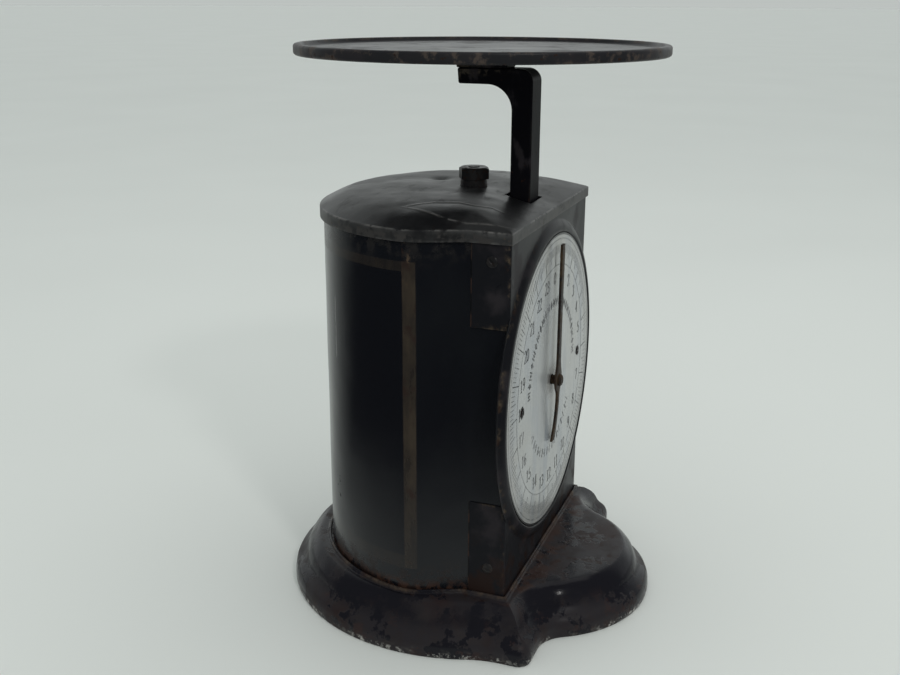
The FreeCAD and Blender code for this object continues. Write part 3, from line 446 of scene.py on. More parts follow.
def case_finish():
    f = Finish("case_paint", COLD_BLACK, 0.15, Specular_IOR_Level=0.42)
    height = f.along("z")
    f.layer(f.noise(60.0, seed=2.0, stretch=(1.0, 1.0, 2.2)), rough=0.24)
    side = f.math("ABSOLUTE", f.along("x"))
    round_y = f.math("SUBTRACT", f.along("y"), CASE_Y)
    turn = f.math("MULTIPLY", f.math("ARCTAN2", round_y, side), 180 / math.pi)
    inside = f.both(f.step(turn, 6.2, 6.8), f.band(height, 48.2, 208.8, 0.6))
    f.layer(f.less(inside, 0.8), (0.0045, 0.0048, 0.0072), 0.2)
    haze = f.patches(38.0, 0.4, 0.16, detail=6.0, stretch=(1.0, 1.0, 1.8), seed=4.0)
    haze = f.both(haze, f.without(inside))
    f.layer(f.less(haze, 0.5), (0.009, 0.0105, 0.0125), 0.3)
    upright = f.band(turn, 2.0, 6.6, 0.3)
    rails = f.either(f.band(height, 208.8, 213.6, 0.5), f.band(height, 40.7, 48.2, 0.5))
    drawn = f.either(f.both(upright, f.band(height, 40.7, 213.6, 0.5)),
                     f.both(rails, f.step(turn, 2.0, 2.6)))
    faded = f.noise(7.0, 7.0, stretch=(1.0, 1.0, 3.0), rough=0.65, seed=5.0)
    faded = f.math("MULTIPLY_ADD", faded, 2.2, -0.35)
    low_fade = f.math("MULTIPLY_ADD", f.both(rails, f.without(upright)), -0.6, 1.0)
    low_fade = f.both(low_fade, f.math("MULTIPLY_ADD", f.step(height, 45.0, 120.0), 0.45, 0.55))
    f.layer(f.both(drawn, f.both(faded, low_fade)), GOLD, 0.34, 0.03)
    worn_line = f.patches(5.0, 0.30, 0.04, detail=8.0, rough=0.72, stretch=(1.0, 1.0, 2.0), seed=31.0)
    worn_line = f.both(worn_line, upright)
    f.layer(f.both(worn_line, f.step(height, 150.0, 212.0)), (0.085, 0.052, 0.030), 0.5)
    f.layer(f.both(f.patches(14.0, 0.30, 0.05, detail=8.0, seed=9.0), upright), DARK_RUST, 0.5)
    rusty = f.both(f.patches(9.0, 0.46, 0.05, detail=8.0, rough=0.7, seed=11.0), f.step(height, 50.0, 26.0))
    f.layer(f.less(rusty, 0.6), DARK_RUST, 0.6, 0.03)
    foot = f.both(f.step(height, 36.0, 27.5), f.patches(6.0, 0.45, 0.06, seed=13.0))
    f.layer(f.less(foot, 0.8), RUST, 0.65, 0.03)
    # painted shade: a near-black line along each ear's rear edge stands in for the shadow in the gap there;
    # real rust patches lie on the same line
    ear_gap_shade_and_rust = f.either(f.band(height, 28.0, 82.0, 0.6), f.band(height, 180.0, 224.0, 0.6))
    ear_gap_shade_and_rust = f.both(ear_gap_shade_and_rust, f.band(f.along("y"), -25.4, -24.3, 0.3))
    f.layer(f.less(ear_gap_shade_and_rust, 0.9), (0.002, 0.002, 0.002), 0.7, -0.05)
    f.layer(f.both(ear_gap_shade_and_rust, f.patches(8.0, 0.4, 0.05, seed=33.0)), RUST, 0.7)
    top = f.both(f.step(height, 208.0, 224.0), f.patches(10.0, 0.46, 0.06, detail=7.0, seed=14.0))
    f.layer(f.less(top, 0.6), (0.024, 0.021, 0.020), 0.4)
    scratch = f.patches(1.0, -0.12, 0.012, stretch=(1.0, 1.0, 18.0), seed=17.0, detail=1.0)
    scratch = f.both(scratch, f.patches(34.0, 0.3, 0.03, seed=19.0))
    f.layer(f.less(scratch, 0.5), (0.05, 0.05, 0.05), 0.45, -0.02)
    f.layer(f.patches(2.0, -0.62, 0.01, seed=23.0, detail=0.0), CHIP, 0.6, -0.03)
    near_side = f.step(f.along("x"), 0.0, -1.0)
    line = f.both(f.band(turn, 42.9, 43.7, 0.25), f.band(height, 150.0, 187.0, 1.0))
    line = f.both(line, f.step(f.noise(5.0, 3.0, stretch=(1.0, 1.0, 3.0), seed=35.0), 0.30, 0.42))
    f.layer(f.less(f.both(line, near_side), 0.7), (0.20, 0.20, 0.20), 0.5, -0.03)
    chips = f.either(f.band(height, 106.0, 122.0, 2.0), f.band(height, 62.0, 78.0, 2.0))
    chips = f.both(chips, f.band(turn, 43.0, 47.5, 0.5))
    chips = f.both(chips, f.patches(3.2, 0.25, 0.04, detail=5.0, seed=36.0))
    f.layer(f.both(chips, near_side), (0.002, 0.002, 0.002), 0.7, -0.06)
    f.layer(f.noise(3.0, 3.0, seed=24.0), height=0.012)
    f.layer(f.noise(34.0, 2.0, seed=25.0), height=0.22)
    return f.done(0.5)


def panel_finish():
    f = Finish("panel_paint", (0.0095, 0.0098, 0.0122), 0.22, Specular_IOR_Level=0.1)
    f.layer(f.noise(30.0, 5.0, seed=2.0), rough=0.44)
    f.layer(f.patches(24.0, 0.36, 0.08, detail=7.0, seed=4.0), WORN_BLACK, 0.46)
    wear = f.attribute("wear")
    rubbed = f.both(wear, f.patches(11.0, 0.34, 0.06, detail=8.0, rough=0.7, seed=6.0))
    f.layer(rubbed, (0.085, 0.062, 0.040), 0.46, -0.04)
    f.layer(f.both(wear, f.patches(6.0, 0.30, 0.05, detail=7.0, seed=7.0)), DARK_RUST, 0.6)
    f.layer(f.patches(2.0, -0.55, 0.01, seed=9.0, detail=0.0), CHIP, 0.6, -0.03)
    low = f.both(f.step(f.along("z"), 70.0, 28.0), f.patches(12.0, 0.4, 0.06, detail=8.0, seed=10.0))
    f.layer(f.less(low, 0.65), DARK_RUST, 0.6, 0.03)
    f.layer(f.noise(2.4, 3.0, seed=11.0), height=0.02)
    f.layer(f.noise(26.0, 2.0, seed=12.0), height=0.2)
    return f.done(0.5)


def lid_finish():
    f = Finish("lid_paint", (0.0095, 0.0095, 0.0105), 0.24, Specular_IOR_Level=0.3)
    f.layer(f.noise(24.0, 5.0, seed=1.0), rough=0.46)
    dusty = f.patches(36.0, 0.5, 0.12, detail=7.0, seed=3.0)
    f.layer(f.less(dusty, 0.7), (0.044, 0.044, 0.045), 0.5)
    scuffs = f.patches(11.0, 0.3, 0.05, detail=7.0, rough=0.68, stretch=(1.6, 0.8, 1.0), seed=5.0)
    f.layer(f.less(scuffs, 0.65), (0.012, 0.010, 0.010), 0.5, -0.03)
    # the wear marks hold real worn paint at the rim and a painted highlight line along each crease; the pale
    # grey layer below paints both
    wear = f.attribute("wear")
    f.layer(f.both(wear, f.step(f.noise(4.0, 6.0, seed=8.0), 0.36, 0.54)), (0.12, 0.115, 0.112), 0.4, 0.02)
    rim = f.step(f.along("z"), 230.0, 227.0)
    rim_chips = f.both(rim, f.patches(8.0, 0.5, 0.04, detail=7.0, rough=0.7, seed=9.0))
    f.layer(rim_chips, (0.040, 0.037, 0.036), 0.42)
    f.layer(f.both(rim, f.patches(4.0, 0.14, 0.03, detail=6.0, seed=10.0)), (0.06, 0.045, 0.034), 0.6)
    f.layer(f.patches(2.0, -0.5, 0.01, seed=11.0, detail=0.0), (0.25, 0.23, 0.21), 0.6, -0.02)
    f.layer(f.noise(2.2, 3.0, seed=12.0), height=0.02)
    f.layer(f.noise(15.0, 4.0, seed=13.0), height=0.5)
    return f.done(0.5)


def tray_finish():
    f = Finish("tray_paint", (0.0180, 0.0178, 0.0205), 0.26, Specular_IOR_Level=0.2)
    f.layer(f.noise(40.0, 5.0, seed=2.0), rough=0.44)
    f.layer(f.patches(30.0, 0.4, 0.08, detail=8.0, rough=0.65, seed=3.0), WORN_BLACK, 0.48, -0.02)
    edge = f.attribute("wear")
    edge_chips = f.both(edge, f.patches(9.0, 0.4, 0.05, detail=8.0, rough=0.7, seed=5.0))
    f.layer(edge_chips, (0.062, 0.047, 0.040), 0.5, -0.05)
    f.layer(f.both(edge, f.patches(4.0, 0.2, 0.03, detail=5.0, seed=6.0)), DARK_RUST, 0.6)
    f.layer(f.patches(2.4, -0.4, 0.02, seed=7.0, detail=1.0), (0.10, 0.07, 0.05), 0.6)
    rubs = f.patches(0.8, 0.0, 0.02, stretch=(22.0, 1.0, 1.0), seed=8.0, detail=1.0)
    f.layer(f.both(rubs, f.patches(45.0, 0.4, 0.04, seed=9.0)), rough=0.6)
    f.layer(f.noise(1.6, 3.0, seed=11.0), height=0.015)
    f.layer(f.noise(30.0, 3.0, seed=12.0), height=0.25)
    return f.done(0.45)


def arm_finish():
    f = Finish("arm_paint", (0.0050, 0.0049, 0.0068), 0.28, Specular_IOR_Level=0.02)
    f.layer(f.noise(16.0, 5.0, stretch=(1.0, 1.0, 2.6), seed=2.0), rough=0.42)
    wear = f.node("NewGeometry").outputs["Pointiness"]
    crest_wear = f.both(f.step(wear, 0.52, 0.6), f.patches(5.0, 0.5, 0.08, seed=4.0))
    f.layer(crest_wear, (0.055, 0.045, 0.036), 0.45)
    f.layer(f.patches(12.0, 0.3, 0.05, detail=7.0, stretch=(1.0, 1.0, 2.0), seed=5.0),
            WORN_BLACK, 0.46, -0.02)
    f.layer(f.patches(4.0, 0.1, 0.03, detail=5.0, seed=6.0), DARK_RUST, 0.6, 0.03)
    f.layer(f.noise(1.4, 3.0, seed=8.0), height=0.03)
    f.layer(f.noise(9.0, 3.0, seed=9.0), height=0.12)
    return f.done(0.5)


def dial_finish():
    f = Finish("dial_face", (0.38, 0.39, 0.39), 0.16, Specular_IOR_Level=0.8)
    x, z = f.along("x"), f.math("SUBTRACT", f.along("z"), DIAL_Z)
    reach = f.math("SQRT", f.math("ADD", f.both(x, x), f.both(z, z)))
    streaks = f.noise(9.0, 5.0, stretch=(1.0, 1.0, 7.0), seed=1.0)
    f.layer(f.step(streaks, 0.42, 0.66), (0.29, 0.31, 0.335), 0.2)
    f.layer(f.less(f.patches(30.0, 0.4, 0.1, detail=5.0, seed=2.0), 0.35), (0.34, 0.335, 0.31), 0.24)
    edge = f.both(f.step(reach, 66.0, 84.0), f.noise(12.0, 6.0, seed=3.0))
    f.layer(f.less(edge, 0.8), (0.25, 0.235, 0.21), 0.4)
    f.layer(f.less(f.patches(2.0, 0.14, 0.04, detail=4.0, seed=4.0), 0.5), (0.24, 0.21, 0.18), 0.5)
    specks = f.patches(0.8, 0.1, 0.02, detail=2.0, stretch=(1.0, 1.0, 9.0), seed=5.0)
    f.layer(f.less(specks, 0.5), (0.25, 0.25, 0.26))
    f.layer(f.less(f.step(reach, 14.0, 3.0), 0.6), (0.16, 0.13, 0.11), 0.5)
    # painted reflection: a soft grey-blue band left of the hub stands in for the pointer's blurred reflection
    # in the glossy dial
    painted_pointer_reflection = f.both(f.band(x, -26.0, -13.0, 6.0), f.band(z, -44.0, 52.0, 14.0))
    f.layer(f.less(painted_pointer_reflection, 0.45), (0.20, 0.21, 0.23), 0.24)
    # painted shade: a near-black ring at the dial's edge, where the bead's inner wall lies in shadow
    f.layer(f.step(reach, 83.4, 84.0), (0.012, 0.012, 0.013), 0.5)
    f.layer(f.noise(30.0, 3.0, seed=7.0), rough=0.24)
    f.layer(f.noise(26.0, 2.0, seed=8.0), height=0.06)
    return f.done(0.35)


def ink_finish():
    f = Finish("dial_ink", (0.045, 0.047, 0.052), 0.5)
    f.layer(f.step(f.noise(2.6, 6.0, rough=0.7, seed=1.0), 0.5, 0.68), (0.30, 0.30, 0.30), 0.45)
    f.layer(f.step(f.noise(26.0, 3.0, seed=2.0), 0.5, 0.62), (0.17, 0.17, 0.18), 0.45)
    f.layer(f.noise(1.0, 3.0, seed=3.0), height=0.01)
    return f.done(0.3)


def rust_finish(name, base, light, rough):
    f = Finish(name, base, rough, Specular_IOR_Level=0.3)
    f.layer(f.step(f.noise(7.0, 7.0, rough=0.66, stretch=(1.0, 1.0, 1.8), seed=1.0), 0.42, 0.62),
            light, rough + 0.1)
    f.layer(f.patches(2.6, 0.34, 0.05, detail=6.0, seed=2.0), DARK_RUST, 0.62, 0.04)
    f.layer(f.patches(3.2, 0.16, 0.04, detail=6.0, seed=3.0), (0.012, 0.011, 0.011), 0.4)
    f.layer(f.noise(0.8, 4.0, seed=4.0), height=0.05)
    return f.done(0.6)


def metal_finish(name, color, rough, dirt, metallic=1.0, streak=1.0):
    f = Finish(name, color, rough, Metallic=metallic)
    f.layer(f.noise(6.0, 6.0, stretch=(1.0, 1.0, streak), seed=1.0),
            tuple(0.72 * c for c in color), rough + 0.16)
    f.layer(f.patches(4.0, 0.3, 0.08, detail=7.0, rough=0.68, seed=2.0), dirt, rough + 0.25, 0.01)
    f.layer(f.less(f.patches(1.6, 0.18, 0.05, detail=5.0, seed=3.0), 0.7), DARK_RUST, 0.7, 0.02)
    f.layer(f.noise(0.5, 3.0, stretch=(1.0, 1.0, 6.0), seed=4.0), height=0.012)
    return f.done(0.35)


foot_paint, case_paint, panel_paint = foot_finish(), case_finish(), panel_finish()
lid_paint, tray_paint, arm_paint = lid_finish(), tray_finish(), arm_finish()
dial_face, dial_ink = dial_finish(), ink_finish()
pointer_steel = rust_finish("pointer_steel", (0.014, 0.0105, 0.010), (0.050, 0.030, 0.014), 0.46)
dark_screw = rust_finish("dark_screw", (0.012, 0.0115, 0.0125), (0.026, 0.023, 0.023), 0.34)
blackened_steel = metal_finish("blackened_steel", (0.09, 0.088, 0.085), 0.38, (0.03, 0.025, 0.022))
steel = metal_finish("steel", (0.36, 0.35, 0.33), 0.34, (0.12, 0.085, 0.06))
spring_steel = metal_finish("spring_steel", (0.22, 0.21, 0.20), 0.3, (0.08, 0.05, 0.03))
brass = metal_finish("brass", (0.52, 0.36, 0.15), 0.36, (0.15, 0.09, 0.04))

FINISHES = {"foot_paint": foot_paint, "case_paint": case_paint, "panel_paint": panel_paint,
            "lid_paint": lid_paint, "tray_paint": tray_paint, "arm_paint": arm_paint,
            "dial_face": dial_face, "pointer_steel": pointer_steel, "dark_screw": dark_screw,
            "blackened_steel": blackened_steel, "steel": steel, "spring_steel": spring_steel,
            "brass": brass}


# ---------------------------------------------------------------- plan outlines

def case_side(offset, front):
    """Half of the case's plan on the -X side, from the middle of the rear to the front corner."""
    radius, blend = CASE_RADIUS + offset, SHOULDER_BLEND + offset
    centre = Vector((0.0, CASE_Y))
    corner = Vector((-NECK_HALF - offset, SHOULDER_Y - offset * math.tan(SHOULDER_ANGLE / 2)))
    along = Vector((-math.sin(SHOULDER_ANGLE), math.cos(SHOULDER_ANGLE)))
    inward = Vector((math.cos(SHOULDER_ANGLE), math.sin(SHOULDER_ANGLE)))
    start = corner + inward * blend - centre
    middle = start.dot(along)
    run = -middle + math.sqrt(middle ** 2 - start.dot(start) + (radius - blend) ** 2)
    blend_centre = corner + inward * blend + along * run
    touch = centre + (blend_centre - centre).normalized() * radius
    half = arc(centre, radius, 90.0, angle_of(touch, centre) % 360, 90)
    half += arc(blend_centre, blend, angle_of(touch, centre) % 360,
                angle_of(corner + along * run, blend_centre) % 360, 12)[1:]
    half += [tuple(corner + along * run * share) for share in (0.75, 0.5, 0.25, 0.0)]
    return half + [(corner.x, corner.y + (front - corner.y) * share) for share in (0.25, 0.5, 0.75, 1.0)]


FOOT_RADIUS = foot_high.x
FOOT_Y = foot_high.y - FOOT_RADIUS
EAR_HALF, EAR_FRONT, EAR_CORNER = 96.0, -65.8, 7.6
FLANK_RADIUS, LOBE_RADIUS, LOBE_BLEND = 60.0, 68.4, 19.0
LOBE_Y = foot_low.y + LOBE_RADIUS
SIDE_STEPS = (56, 16, 3, 5)
FRONT_STEPS = (5, 4, 20, 40)


def foot_half(inset):
    """Half of the foot's plan on the -X side, in a side part and a front part that meet at the ear."""
    radius, flank = FOOT_RADIUS - inset, FLANK_RADIUS + inset
    lobe, blend = LOBE_RADIUS - inset, LOBE_BLEND + inset
    corner = max(EAR_CORNER - inset, 0.25)
    ear_x, ear_y = -EAR_HALF + inset, EAR_FRONT + inset
    centre = (0.0, FOOT_Y)
    drop = math.sqrt((radius + flank) ** 2 - (ear_x - flank) ** 2)
    flank_centre = (ear_x - flank, FOOT_Y - drop)
    meet = angle_of(flank_centre, centre) % 360
    end_y = max(flank_centre[1], ear_y + corner)
    last = math.degrees(math.asin((end_y - flank_centre[1]) / flank))
    ear = (flank_centre[0] + flank * math.cos(math.radians(last)) + corner, ear_y + corner)
    side = arc(centre, radius, 90.0, meet, SIDE_STEPS[0])
    side += arc(flank_centre, flank, meet - 180.0, last, SIDE_STEPS[1])[1:]
    ear_side = (ear[0] - corner, ear[1])
    side += spread([side[-1], ear_side], even(SIDE_STEPS[2]))[1:] if end_y > ear[1] + 1e-6 else \
        [ear_side] * SIDE_STEPS[2]
    side += arc(ear, corner, 180.0, 225.0, SIDE_STEPS[3])[1:]
    front = arc(ear, corner, 225.0, 270.0, FRONT_STEPS[0])
    blend_centre = (-math.sqrt((lobe + blend) ** 2 - (ear_y - blend - LOBE_Y) ** 2), ear_y - blend)
    front += spread([front[-1], (blend_centre[0], ear_y)], even(FRONT_STEPS[1]))[1:]
    lobe_centre = (0.0, LOBE_Y)
    meet = angle_of(blend_centre, lobe_centre)
    front += arc(blend_centre, blend, 90.0, meet + 180.0, FRONT_STEPS[2])[1:]
    front += arc(lobe_centre, lobe, meet, -90.0, FRONT_STEPS[3])[1:]
    return side, front


def foot_ring(inset, height):
    side, front = foot_half(inset)
    return mirrored([(x, y, height) for x, y in side + front[1:]])


def shares_of(run):
    total = lengths(run)
    return [part / total[-1] for part in total]


OUTER_SIDE, OUTER_FRONT = foot_half(0.0)
SIDE_SHARES, FRONT_SHARES = shares_of(OUTER_SIDE), shares_of(OUTER_FRONT)


def case_ring(offset, front, height):
    """The case's plan as a ring whose points pair with those of a foot ring."""
    side = spread(case_side(offset, front), SIDE_SHARES)
    face = spread([side[-1], (0.0, front)], FRONT_SHARES)
    return mirrored([(x, y, height) for x, y in side + face[1:]])


def between(low, high, share, height):
    return [(a[0] + (b[0] - a[0]) * share, a[1] + (b[1] - a[1]) * share, height) for a, b in zip(low, high)]


# ---------------------------------------------------------------- foot casting

LIP_GAP = 1.0
LIP_WIDTH = 1.6
DECK_INSET = 18.0
FOOT_TOP = case_low.z


def build_foot():
    knots = [(0.7, 0.0), (0.1, 1.4), (0.0, 4.0), (0.3, 7.0), (1.8, 10.2), (4.7, 12.8), (6.9, 15.4),
             (8.1, 18.2), (9.6, 21.2), (12.2, 24.3), (15.2, 26.5), (DECK_INSET, FOOT_TOP)]
    rings, marks = [], []
    for inset, height in smooth_run(knots, 4):
        rings.append(foot_ring(max(inset, 0.0), max(height, 0.0)))
        marks.append(0.0)
    deck = rings[-1]
    lip_out = PANEL_FACE - 0.2
    wide = LIP_GAP + LIP_WIDTH
    edge = case_ring(wide + 1.2, lip_out - LIP_WIDTH - 1.2, FOOT_TOP)
    for share in (0.2, 0.4, 0.6, 0.8, 1.0):
        rings.append(between(deck, edge, share, FOOT_TOP))
        marks.append(0.0)
    lip = [(0.5, 0.15, 0.2), (0.12, 0.55, 0.5), (0.0, 1.3, 0.9), (-0.15, 1.75, 1.0), (-0.5, 2.0, 1.0),
           (-1.1, 2.0, 1.0), (-1.45, 1.8, 0.8), (-1.6, 1.3, 0.5), (-1.6, 0.0, 0.2)]
    for out, rise, worn in lip:
        rings.append(case_ring(wide + out, lip_out - LIP_WIDTH - out, FOOT_TOP + rise))
        marks.append(worn)
    inner_top = case_ring(-20.0, PANEL_FACE + 20.0, FOOT_TOP)
    rings.append(inner_top)
    rings.append(between(inner_top, inner_top, 0.0, FOOT_TOP - 5.0))
    below = [(DECK_INSET + 2.0, FOOT_TOP - 5.0), (14.5, 21.0), (12.6, 18.0), (11.2, 14.0), (9.0, 11.5),
             (5.4, 8.5), (4.2, 5.0), (4.0, 0.0)]
    for inset, height in below:
        rings.append(foot_ring(inset, height))
    marks += [0.0] * (2 + len(below))
    count = len(rings[0])
    points, faces = skin(rings, True, True)
    top = (len(rings) - 2 - len(below)) * count
    faces.append(tuple(range(top, top + count)))
    faces.append(tuple(range(top + count, top + 2 * count)))
    gone = {(top + k, top + (k + 1) % count) for k in range(count)}
    faces = [f for f in faces if len(f) != 4 or (f[0], f[1]) not in gone]
    worn = [mark for mark in marks for _ in range(count)]
    moved = []
    for (x, y, z), mark in zip(points, worn):
        free = 4.0 < z < FOOT_TOP - 0.2 and mark == 0.0
        push = 0.35 * ripple(x, y, z, 17.0) if free else 0.0
        scale = 1.0 - abs(push) / 100.0
        moved.append((x * scale, y * scale, z + (push * 0.5 if z < 26.0 else 0.0)))
    make("foot", moved, faces, foot_paint, "root", ("base_casting",), 40.0, worn)


# ---------------------------------------------------------------- case, front panel, lid

def build_case():
    step_length = 1.8
    outer_half = case_side(0.0, PANEL_BACK)
    inner_half = case_side(-SHEET, PANEL_BACK)
    count = int(lengths(outer_half)[-1] / step_length)
    outer_line = spread(outer_half, even(count))
    inner_line = spread(inner_half, even(count))
    outer_line = outer_line[::-1] + [(-x, y) for x, y in outer_line[1:]]
    inner_line = inner_line[::-1] + [(-x, y) for x, y in inner_line[1:]]
    rows = 72
    levels = [case_low.z + (case_high.z - case_low.z) * row / rows for row in range(rows + 1)]

    def dented(x, y, z):
        push = 0.28 * (ripple(x, y, z, 46.0, 3.0) - 0.55) + 0.10 * ripple(x, y, z, 15.0, 5.0)
        ease = min(1.0, (z - case_low.z) / 8.0, (case_high.z - z) / 8.0, (y - PANEL_BACK) / 8.0)
        push = min(push, 0.0) * max(ease, 0.0)
        reach = math.hypot(x, y)
        return x * (1 + push / reach), y * (1 + push / reach), z

    outer = [[dented(x, y, z) for z in levels] for x, y in outer_line]
    inner = [[dented(x, y, z) for z in levels] for x, y in inner_line]
    points, faces = slab(outer, inner)
    make("case", points, faces, case_paint, "root", ("case_wrapper",), 35.0)


def build_panel():
    front, back = PANEL_FACE, PANEL_BACK
    crest, plateau = 2.8, 1.6
    arch = [(-1.2, 0.0), (0.0, 0.12), (0.8, 0.6), (1.8, 1.35), (3.0, 2.05), (4.4, 2.6), (5.7, crest),
            (6.6, 2.7), (7.15, 2.3), (7.4, plateau)]
    arch = smooth_run(arch, 3)
    outer = [(BEAD_RADIUS - run, front - rise) for run, rise in arch]
    inner = [(BEAD_RADIUS - 0.6 - run * 0.9, back - rise * 0.9) for run, rise in arch]
    hole = 4.2
    profile = outer + [(60.0, front - plateau), (hole, front - plateau), (hole, back - plateau),
                       (60.0, back - plateau)] + inner[::-1]
    points, faces = lathe(profile, (0.0, 0.0, DIAL_Z), "y", 256)
    marks = [0.0] * len(points)
    for index, (x, y, z) in enumerate(points):
        ring = index // 256
        if ring < len(outer):
            lean = max(0.0, -x / BEAD_RADIUS)
            marks[index] = 0.8 * lean * math.exp(-((ring - 5) / 4.0) ** 2)
    fold = 1.6
    bead_edge = BEAD_RADIUS - 0.6
    ear_rear = PANEL_FACE + EAR_DEPTH
    sides = [-PANEL_HALF + fold, PANEL_HALF - fold]

    def columns(ear_low, ear_high, flat_low, flat_high):
        """Outer and inner columns from one ear's rear edge over the front to the other's."""
        made = []
        rows = 14
        for y in [ear_rear + (PANEL_FACE + fold - ear_rear) * s for s in even(10)]:
            made.append(((-PANEL_HALF, y), (-PANEL_HALF + PANEL_SHEET, y), ear_low, ear_high))
        for turn in (15, 30, 45, 60, 75):
            c, s = math.cos(math.radians(180 + turn)), math.sin(math.radians(180 + turn))
            centre = (sides[0], PANEL_FACE + fold)
            share = turn / 90
            made.append(((centre[0] + fold * c, centre[1] + fold * s),
                         (centre[0] + (fold - PANEL_SHEET) * c, centre[1] + (fold - PANEL_SHEET) * s),
                         ear_low + (flat_low(sides[0]) - ear_low) * share,
                         ear_high + (flat_high(sides[0]) - ear_high) * share))
        half = list(made)
        across = 56
        for step in range(across + 1):
            x = sides[0] + (sides[1] - sides[0]) * step / across
            made.append(((x, front), (x, back), flat_low(x), flat_high(x)))
        for outer_xy, inner_xy, low, high in reversed(half):
            made.append(((-outer_xy[0], outer_xy[1]), (-inner_xy[0], inner_xy[1]), low, high))
        levels = even(rows)
        outer_grid = [[(o[0], o[1], low + (high - low) * s) for s in levels] for o, i, low, high in made]
        inner_grid = [[(i[0], i[1], low + (high - low) * s) for s in levels] for o, i, low, high in made]
        return slab(outer_grid, inner_grid)

    def rise(x):
        return math.sqrt(bead_edge ** 2 - x ** 2)

    upper = columns(180.0, 224.0, lambda x: DIAL_Z + rise(x), lambda x: case_high.z)
    lower = columns(case_low.z, 82.0, lambda x: case_low.z, lambda x: DIAL_Z - rise(x))
    for more_points, more_faces in (upper, lower):
        base = len(points)
        points = points + more_points
        faces = faces + [tuple(base + k for k in face) for face in more_faces]
        for x, y, z in more_points:
            corner = math.exp(-((abs(x) - PANEL_HALF) / 0.8) ** 2 - ((y - PANEL_FACE) / 2.0) ** 2)
            ear_edge = math.exp(-(min(abs(z - 180.0), abs(z - 82.0)) / 0.9) ** 2) if y > front + 0.5 else 0.0
            marks.append(min(1.0, corner + 0.8 * ear_edge))
    make("front_face", points, faces, panel_paint, "root", ("front_panel",), 30.0, marks)


CREASES = [
    [(-64.3, 14.9, 0.6), (-54.1, 4.0, 1.0), (-49.4, -8.4, 1.0), (-51.9, -17.7, 0.8), (-45.4, -25.0, 0.9),
     (-46.7, -31.5, 0.6)],
    [(-65.8, 16.4, 0.5), (-70.6, 2.4, 0.8), (-72.9, -9.0, 0.9), (-71.3, -26.2, 0.9), (-71.3, -40.0, 0.8),
     (-67.8, -44.6, 0.6)],
]


def crease(x, y):
    """Height that the old bends in the lid give at a point, and a mark for the pale line painted along each
    bend as its highlight.
    """
    height = wear = 0.0
    for line in CREASES:
        best, strength = 1e9, 0.0
        for (ax, ay, a), (bx, by, b) in zip(line, line[1:]):
            run = Vector((bx - ax, by - ay))
            share = max(0.0, min(1.0, (Vector((x - ax, y - ay))).dot(run) / run.length_squared))
            gap = math.hypot(x - ax - run.x * share, y - ay - run.y * share)
            if gap < best:
                best, strength = gap, a + (b - a) * share
        wobble = 1.0 + 0.5 * ripple(x, y, 0.0, 6.0, 7.0)
        height += strength * (0.30 * math.exp(-(best / 0.9) ** 2) - 0.35 * math.exp(-(best / 5.0) ** 2))
        wear = max(wear, strength * wobble * math.exp(-(best / 0.55) ** 2))
    return height, min(1.0, max(0.0, wear))


